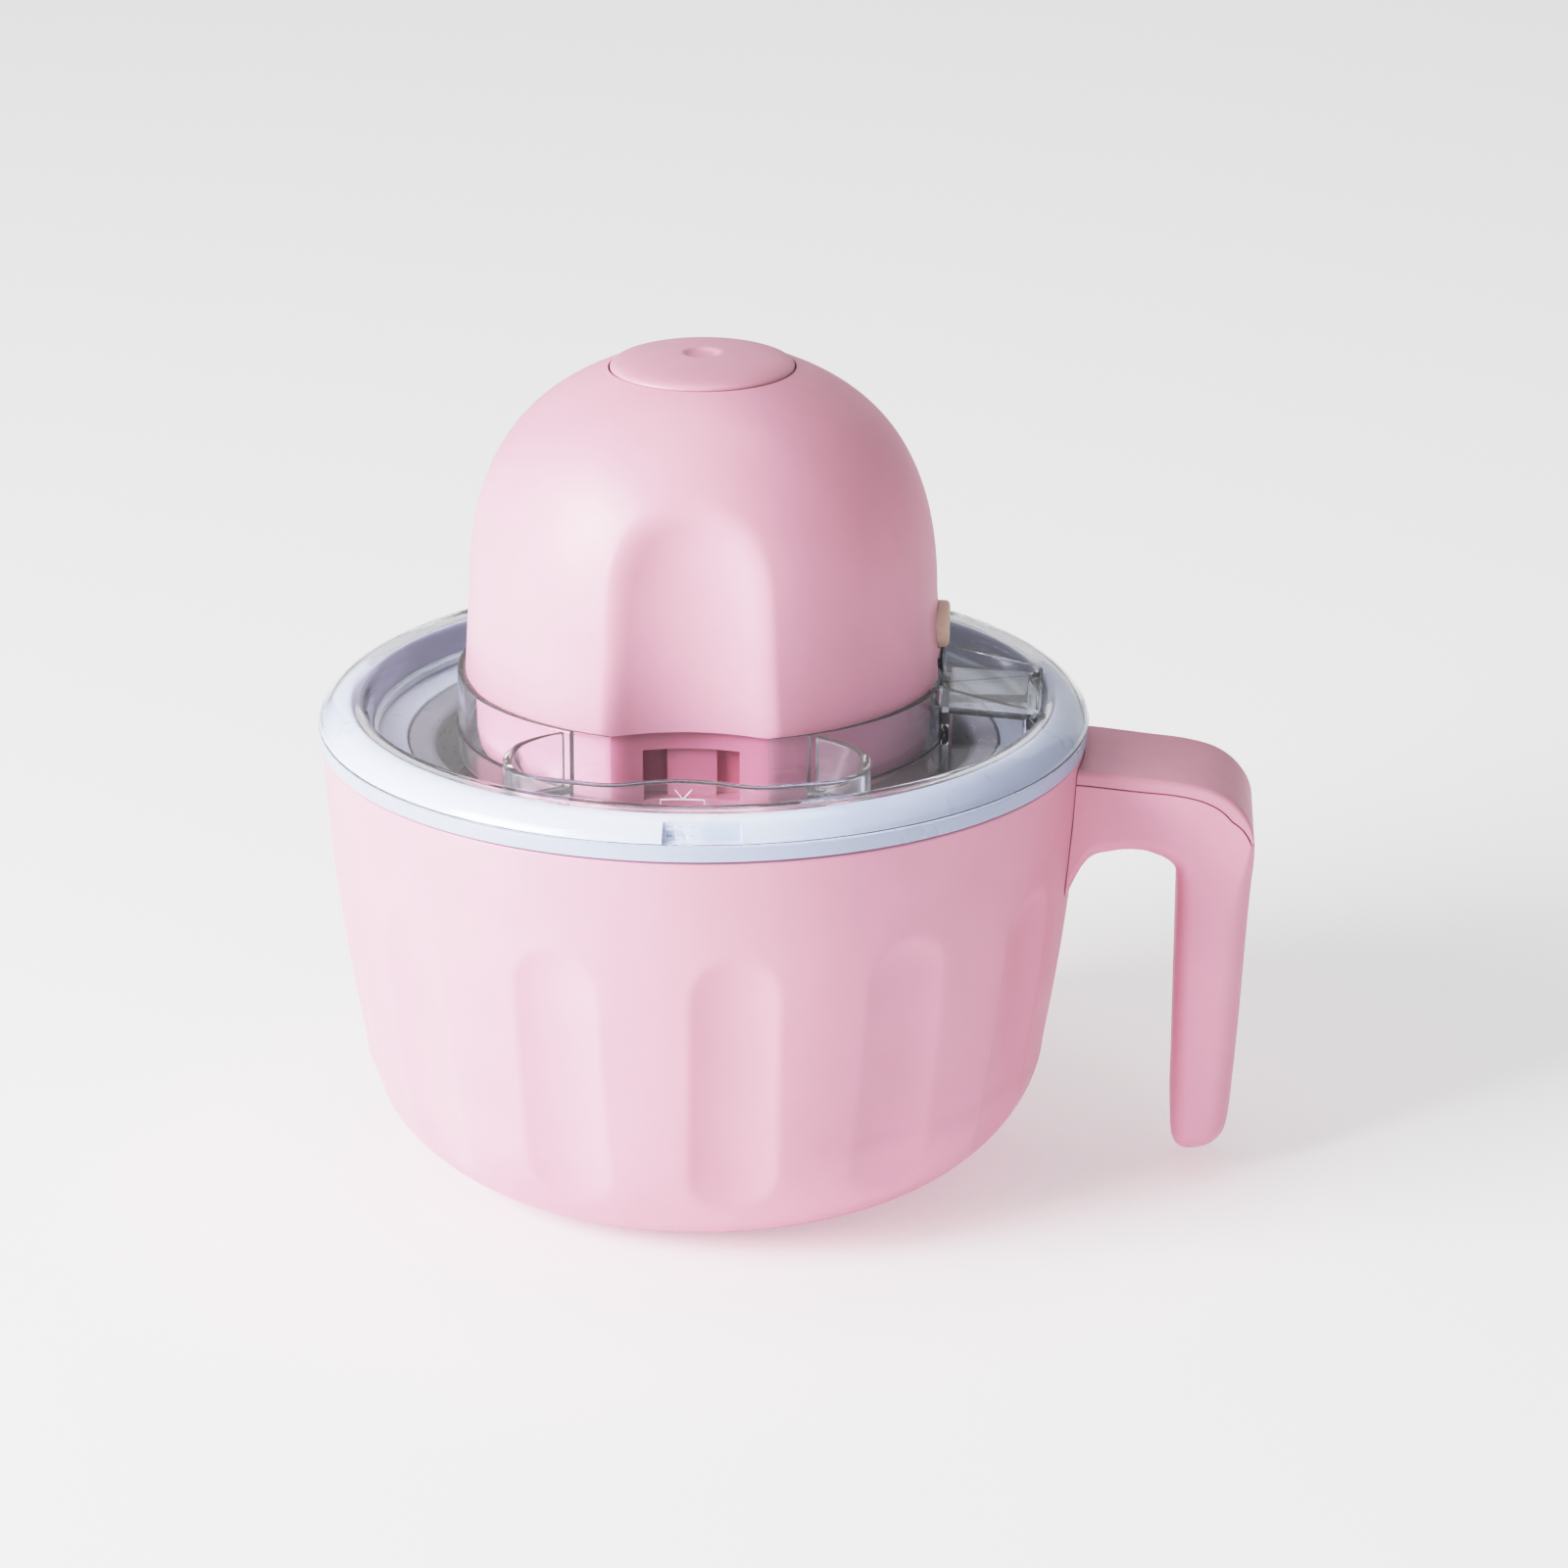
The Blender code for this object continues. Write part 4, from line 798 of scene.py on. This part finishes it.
def rib_top(x, y):
    """The side channel's ribs fall from the collar's edge to the rim's crest."""
    return COLLAR_TOP - 0.1 - (COLLAR_TOP - CREST_TOP) * (x - COLLAR_R) / (CREST_R - COLLAR_R)


def deck_top(x, y):
    """The side channel's floor falls gently outwards."""
    return DECK_HIGH - DECK_FALL * (x - COLLAR_R) / (CREST_R - COLLAR_R)


def deck_low(x, y):
    return deck_top(x, y) - DECK_WALL


def band_outline(start, end, half, corner=1.2, steps=4):
    """Plan of a straight band along +X with round corners."""
    out = []
    for sx, sy, first in ((end - corner, half - corner, 0), (start + corner, half - corner, 90),
                          (start + corner, corner - half, 180), (end - corner, corner - half, 270)):
        for k in range(steps + 1):
            angle = radians(first + 90 * k / steps)
            out.append((sx + corner * cos(angle), sy + corner * sin(angle)))
    return out


def add_chute(cover, path):
    """Filling chute: its wall, the cut through the collar behind it and the opening in the floor."""
    back = [p for p in grip_front(1.6)[::-1] if -29.0 < p[0] < 29.0]
    inside = offset_path(path, -CHUTE_WALL / 2 + 0.15) + back
    cut(cover, prism(inside, FLOOR_TOP + 0.5, 140.0))
    join(cover, wall_along(path, FLOOR_LOW + 0.25, CHUTE_WALL, chute_top))
    hole = offset_path(path, -CHUTE_WALL / 2 - 0.25) + back
    hole = [(x * min(1, MOUTH_R / hypot(x, y)), y * min(1, MOUTH_R / hypot(x, y))) for x, y in hole]
    cut(cover, prism(hole, 100.0, 120.0))


def add_channel(cover):
    """Side channel on +X: a solid band, hollowed from below and above, and cleared over the rim."""
    join(cover, prism(band_outline(CHANNEL_START, CHANNEL_END, CHANNEL_HALF), FLOOR_LOW + 0.35, rib_top))
    under = [(82.0, 114.05), (84.2, 116.4), (85.3, 120.75), (87.0, 121.5), (90.3, 120.1), (92.9, 117.75),
             (92.9, 110.0), (82.0, 110.0)]
    cut(cover, spin(under, TURNED, turn=LID_TURN))
    between = CHANNEL_HALF - RIB_WALL
    cut(cover, prism(band_outline(COLLAR_R + 0.15, 79.8, between), 110.0, deck_low))
    cut(cover, prism(band_outline(50.0, CHANNEL_END - 0.8, between), deck_top, 140.0))


def add_stubs(cover):
    """Three thin bayonet stubs in front and three behind, which turn in the rim's slots."""
    for side in (0, 180):
        for start in (side - 1.9, side - 0.45, side + 1.0):
            join(cover, prism(arc_band(90.0, 93.4, start, start + 0.95, 3), 116.75, 120.7))


def lid():
    """Clear lid, one moulding with its chute, side channel and stubs, and the marks on the chute."""
    cover = solid("clear_lid", spin(lid_outline(), TURNED, turn=LID_TURN))
    path = chute_path()
    add_chute(cover, path)
    add_channel(cover)
    well = [(0, WELL_TOP + 0.15), (WELL_R - 0.05, WELL_TOP + 0.15), (WELL_R - 0.05, 140.0), (0, 140.0)]
    cut(cover, spin(well, TURNED, turn=LID_TURN))
    front_wall = grip_front(1.9, 22.0) + grip_front(0.4, 22.0)[::-1]
    join(cover, prism(front_wall, WELL_LOW + 0.3, WELL_TOP + 3.0))
    add_stubs(cover)
    dress(cover, MATERIALS["clear"], "lid", "clear", "lid")
    cover.visible_shadow = False

    for name, stroke in (("chevron", [(-2.1, 124.3), (-0.2, 121.9), (1.9, 124.3)]),
                         ("bracket", [(-5.5, 118.8), (-5.5, 121.9), (4.9, 121.9), (4.9, 118.8)])):
        dress(solid("chute_" + name, chute_mark(path, stroke)), MATERIALS["frosted"], "lid", "clear")


def lid_gasket():
    ring = [(80.2, 112.3), (82.0, 112.3), (82.7, 113.2), (82.0, 114.05), (80.2, 114.05)]
    gasket = solid("lid_seal_ring", spin(rounded(ring, 0.5)))
    dress(gasket, MATERIALS["silicone"], "gasket", "silicone", "lid_gasket")


# ---------------------------------------------------------------- motor head

def head_angles():
    """Angles round the motor head, closer together across the two finger grooves."""
    out = []
    for side in (-90, 90):
        out += [radians(side - 30 + 60 * k / 96) for k in range(96)]
        out += [radians(side + 30 + 120 * k / 84) for k in range(84)]
    return sorted(out)


def dome_outline(steps):
    """Outer (r, z) of the dome from its lower edge to the button."""
    out = curve_through([(58.6, DOME_LOW + 0.5), (58.1, 139.0), (57.4, 150.0)], 6)
    a, b, c, d = (57.4, 150.0), (57.4, 187.0), (40.0, 199.0), (BUTTON_R + 0.4, BUTTON_EDGE_Z - 0.15)
    for k in range(1, steps + 1):
        t = k / steps
        out.append(tuple((1 - t) ** 3 * p + 3 * (1 - t) ** 2 * t * q + 3 * (1 - t) * t * t * r + t ** 3 * s
                         for p, q, r, s in zip(a, b, c, d)))
    return out


def inward(outline, wall):
    """Offset an open (r, z) outline towards the axis by the wall thickness."""
    out = []
    for k, (r, z) in enumerate(outline):
        before, after = outline[max(k - 1, 0)], outline[min(k + 1, len(outline) - 1)]
        dr, dz = after[0] - before[0], after[1] - before[1]
        size = hypot(dr, dz)
        out.append((r - wall * dz / size, z + wall * dr / size))
    return out


def oval(half_y, half_z, steps=24):
    """Stadium outline, wider than tall."""
    out = []
    for side, start in ((1, -90), (-1, 90)):
        for k in range(steps + 1):
            angle = radians(start + 180 * k / steps)
            out.append((side * (half_y - half_z) + half_z * cos(angle), half_z * sin(angle)))
    return out


def dome():
    """Dome with its two finger grooves, and the openings for the power key and the inlet."""
    outer = dome_outline(44)
    inner = inward(outer, DOME_WALL)[2:-4:3] + [(BUTTON_R + 0.4, BUTTON_EDGE_Z - 2.6)]
    foot = [(inner[0][0], DOME_LOW), (58.3, DOME_LOW)]

    def outline(angle):
        grip = grip_radius(angle)
        outside = [(smooth_min(r, grip - grip_scoop(z), GRIP_BLEND), z) for r, z in foot[1:] + outer]
        inside = [(smooth_min(r, grip - grip_scoop(z) - DOME_WALL, GRIP_BLEND), z)
                  for r, z in foot[:1] + inner]
        return outside + inside[::-1]

    shell = solid("dome", spin_at(outline, head_angles()))
    cut(shell, along_x(prism(oval(KEY_HALF_Y + 0.4, KEY_HALF_Z + 0.4), 50.0, 64.0), z=KEY_Z))
    cut(shell, block((50.0, -INLET_HALF, 120.0), (64.0, INLET_HALF, INLET_TOP)))
    dress(shell, MATERIALS["pink"], "motor_head", "pink", "dome_shell")


def motor_base():
    """Skirt below the dome, with the catch window behind the front groove."""
    wall = rounded([(50.6, HEAD_LOW), (53.6, 109.6), (55.3, 112.4), (56.0, 116.5), (56.1, HEAD_TOP),
                    (54.0, HEAD_TOP), (53.9, 117.0), (52.6, 112.6), (50.2, 110.4)], 2.0, 5, 8.0)
    split = next(k for k, p in enumerate(wall) if p[1] > HEAD_TOP - 0.3 and p[0] < 55.2)

    def outline(angle):
        grip = grip_radius(angle) - BASE_INSET
        outside = [(smooth_min(r, grip, GRIP_BLEND), z) for r, z in wall[:split]]
        inside = [(smooth_min(r, grip - 2.0, GRIP_BLEND), z) for r, z in wall[split:]]
        return [(41.9, HEAD_LOW)] + outside + inside + [(41.9, 110.4)]

    base = solid("head_skirt", spin_at(outline, head_angles()))
    cut(base, block((50.0, -INLET_HALF, INLET_LOW), (64.0, INLET_HALF, 140.0)))
    behind = [(x, -(GRIP_Y + GRIP_CURVE * x * x - BASE_INSET - 1.0)) for x in range(-14, 15, 2)]
    join(base, prism(behind + [(14, -42.3), (-14, -42.3)], 109.3, 126.7))
    window = [(-11.6, -52), (11.6, -52), (11.6, -43.6), (6.0, -43.6), (6.0, -45.8), (-6.0, -45.8),
              (-6.0, -43.6), (-11.6, -43.6)]
    cut(base, prism(window, 111.8, 124.3))
    # Painted shade: the skirt wears the darker copy of the pink, for the shade under the dome and behind the
    # clear collar.
    dress(base, MATERIALS["pink_base"], "motor_head", "pink", "motor_base")


def head_plate():
    """Bottom cover of the motor head, with its three screws."""
    spots = [polar(37.0, radians(angle)) for angle in (-35, 85, 205)]
    outline = [(7.2, 108.5), (41.5, 108.5), (41.5, 111.3), (7.2, 111.3)]
    cover = solid("head_bottom_plate", spin(rounded(outline, 0.5)))
    cut(cover, *[screw_hole(at, 108.0, 109.9, 112.0) for at in spots])
    dress(cover, MATERIALS["white"], "motor_head", "white", "head_bottom_cover")
    for k, at in enumerate(spots, 1):
        screw("head_plate_screw_%d" % k, at, 109.7, 7.0, "motor_head", "head_screw_%d" % k)


def output_seal():
    lip = [(4.5, 106.9), (9.6, 106.9), (10.2, 107.5), (10.2, 108.15), (4.5, 108.15)]
    seal = solid("output_seal", spin(rounded(lip, 0.4), 96))
    dress(seal, MATERIALS["silicone"], "motor_head", "silicone", "shaft_seal")


def drive_coupling():
    """Socket on the output shaft, with a slot for the paddle's flat tongue."""
    outline = [(0, 95.6), (7.2, 95.6), (8.0, 96.6), (8.0, 106.3), (4.5, 106.3), (4.5, 101.9), (0, 101.9)]
    socket = solid("drive_coupling", spin(rounded(outline, 0.5), 64))
    cut(socket, block((-4.6, -2.5, 90.0), (4.6, 2.5, 100.9)))
    dress(socket, MATERIALS["nylon"], "drive", "nylon", "drive_socket")


def start_button():
    """Domed cap with a small dimple, on a short stem."""
    crown = [(BUTTON_R * cos(radians(a)), BUTTON_EDGE_Z + BUTTON_CROWN * sin(radians(a)))
             for a in range(0, 76, 5)]
    dimple = curve_through([(5.0, 209.4), (4.5, 209.3), (3.2, 208.75), (1.8, 208.52), (0.0, 208.45)], 5)
    cap = [(20.2, 200.0), (BUTTON_R, 200.0)] + crown + dimple + [(0, 203.8), (20.2, 202.8)]
    button = solid("start_button_cap", spin(rounded(cap, 0.5)))
    join(button, spin([(0, 196.3), (3.0, 196.3), (3.0, 205.0), (0, 205.0)], 48))
    dress(button, MATERIALS["pink_cap"], "start_button", "pink_cap", "top_button")


def power_key():
    """Oval key on the side, with a softly rounded face."""
    face = oval(KEY_HALF_Y, KEY_HALF_Z)
    rings = []
    for inset, x in ((0.0, 54.2), (0.0, 59.4), (0.15, 59.9), (0.5, 60.3), (1.0, 60.5)):
        scale_y, scale_z = (KEY_HALF_Y - inset) / KEY_HALF_Y, (KEY_HALF_Z - inset) / KEY_HALF_Z
        rings.append([(x, y * scale_y, KEY_Z + z * scale_z) for y, z in face])
    key = solid("side_power_key", loft(rings))
    dress(key, MATERIALS["tan"], "side_key", "tan", "power_key")


# ---------------------------------------------------------------- studio

LIGHT_AIM_Z = 0.11               # metres; every light faces this height on the axis
FLOOR_HALF = 4000.0
CAMERA_DOWN, CAMERA_TURN = 19.56, 2.8


def tone_curve(view):
    """Film-like tone curve: a soft toe and a long shoulder, so that bright plastic pales."""
    view.view_transform = "Standard"
    view.use_curve_mapping = True
    reach = 4.0                  # the scene brightness that comes out pure white
    curve = view.curve_mapping
    curve.white_level = (reach, reach, reach)
    line = curve.curves[3]
    for bright, shown in ((0.10, 0.075), (0.207, 0.174), (0.35, 0.352), (0.51, 0.546), (0.64, 0.655),
                          (0.94, 0.82), (1.46, 0.92), (2.2, 0.985)):
        line.points.new(bright / reach, shown)
    curve.update()


def lamp(name, place, size, power, color):
    """Rectangular soft light that faces the object."""
    light = bpy.data.lights.new(name, "AREA")
    light.shape = "RECTANGLE"
    light.size, light.size_y = size
    light.energy = power
    light.color = color
    thing = bpy.data.objects.new(name, light)
    thing.location = place
    towards = Vector((0, 0, LIGHT_AIM_Z)) - Vector(place)
    thing.rotation_euler = towards.to_track_quat("-Z", "Y").to_euler()
    bpy.context.scene.collection.objects.link(thing)


def studio():
    """Even white surround, pale matt floor and four soft lights, the strongest from the left."""
    scene = bpy.context.scene
    world = bpy.data.worlds.new("studio")
    world.use_nodes = True
    sky = world.node_tree.nodes["Background"]
    sky.inputs["Color"].default_value = (1.0, 1.0, 1.0, 1.0)
    sky.inputs["Strength"].default_value = 0.33
    scene.world = world
    tone_curve(scene.view_settings)

    floor = solid("floor", block((-FLOOR_HALF, -FLOOR_HALF, -10.0), (FLOOR_HALF, FLOOR_HALF, -0.05)))
    paint = Nodes("pale_floor")
    paint.tint(paint.noise(400.0), (0.9, 0.9, 0.9), 0.004)
    paint.link(paint.between(paint.noise(60.0), 0.7, 0.8), paint.shader.inputs["Roughness"])
    paint.set(Emission_Color=(1.0, 1.0, 1.0, 1.0), Emission_Strength=0.25)
    floor.data.materials.append(paint.mat)

    lamp("key_light", (-1.3, -0.84, 0.78), (1.0, 1.0), 31.5, (1.0, 0.99, 0.98))
    lamp("fill_light", (0.9, -1.5, 0.4), (0.9, 0.9), 2.6, (1.0, 0.98, 0.98))
    lamp("top_light", (-0.1, 0.1, 1.8), (1.2, 1.2), 5.0, (1.0, 1.0, 1.0))
    lamp("back_light", (0.2, 2.4, 1.0), (3.0, 1.8), 5.0, (0.97, 0.98, 1.0))


def camera():
    """Long lens, a little above the lid, with the chute turned slightly to the left."""
    eye = bpy.data.cameras.new("camera")
    eye.lens = 147.4
    eye.sensor_width = 36.0
    eye.clip_end = 20.0
    thing = bpy.data.objects.new("camera", eye)
    thing.location = (0.09305, -1.4972, 0.6313)
    thing.rotation_euler = (radians(90 - CAMERA_DOWN), 0.0, radians(CAMERA_TURN))
    bpy.context.scene.collection.objects.link(thing)
    bpy.context.scene.camera = thing


paint_cad()
outer_shell()
sleeve()
base_plate()
foot_pad()
handle()
bowl_outer()
bowl_rim()
bowl_inside()
paddle()
lid()
lid_gasket()
dome()
motor_base()
head_plate()
output_seal()
drive_coupling()
start_button()
power_key()
studio()
camera()
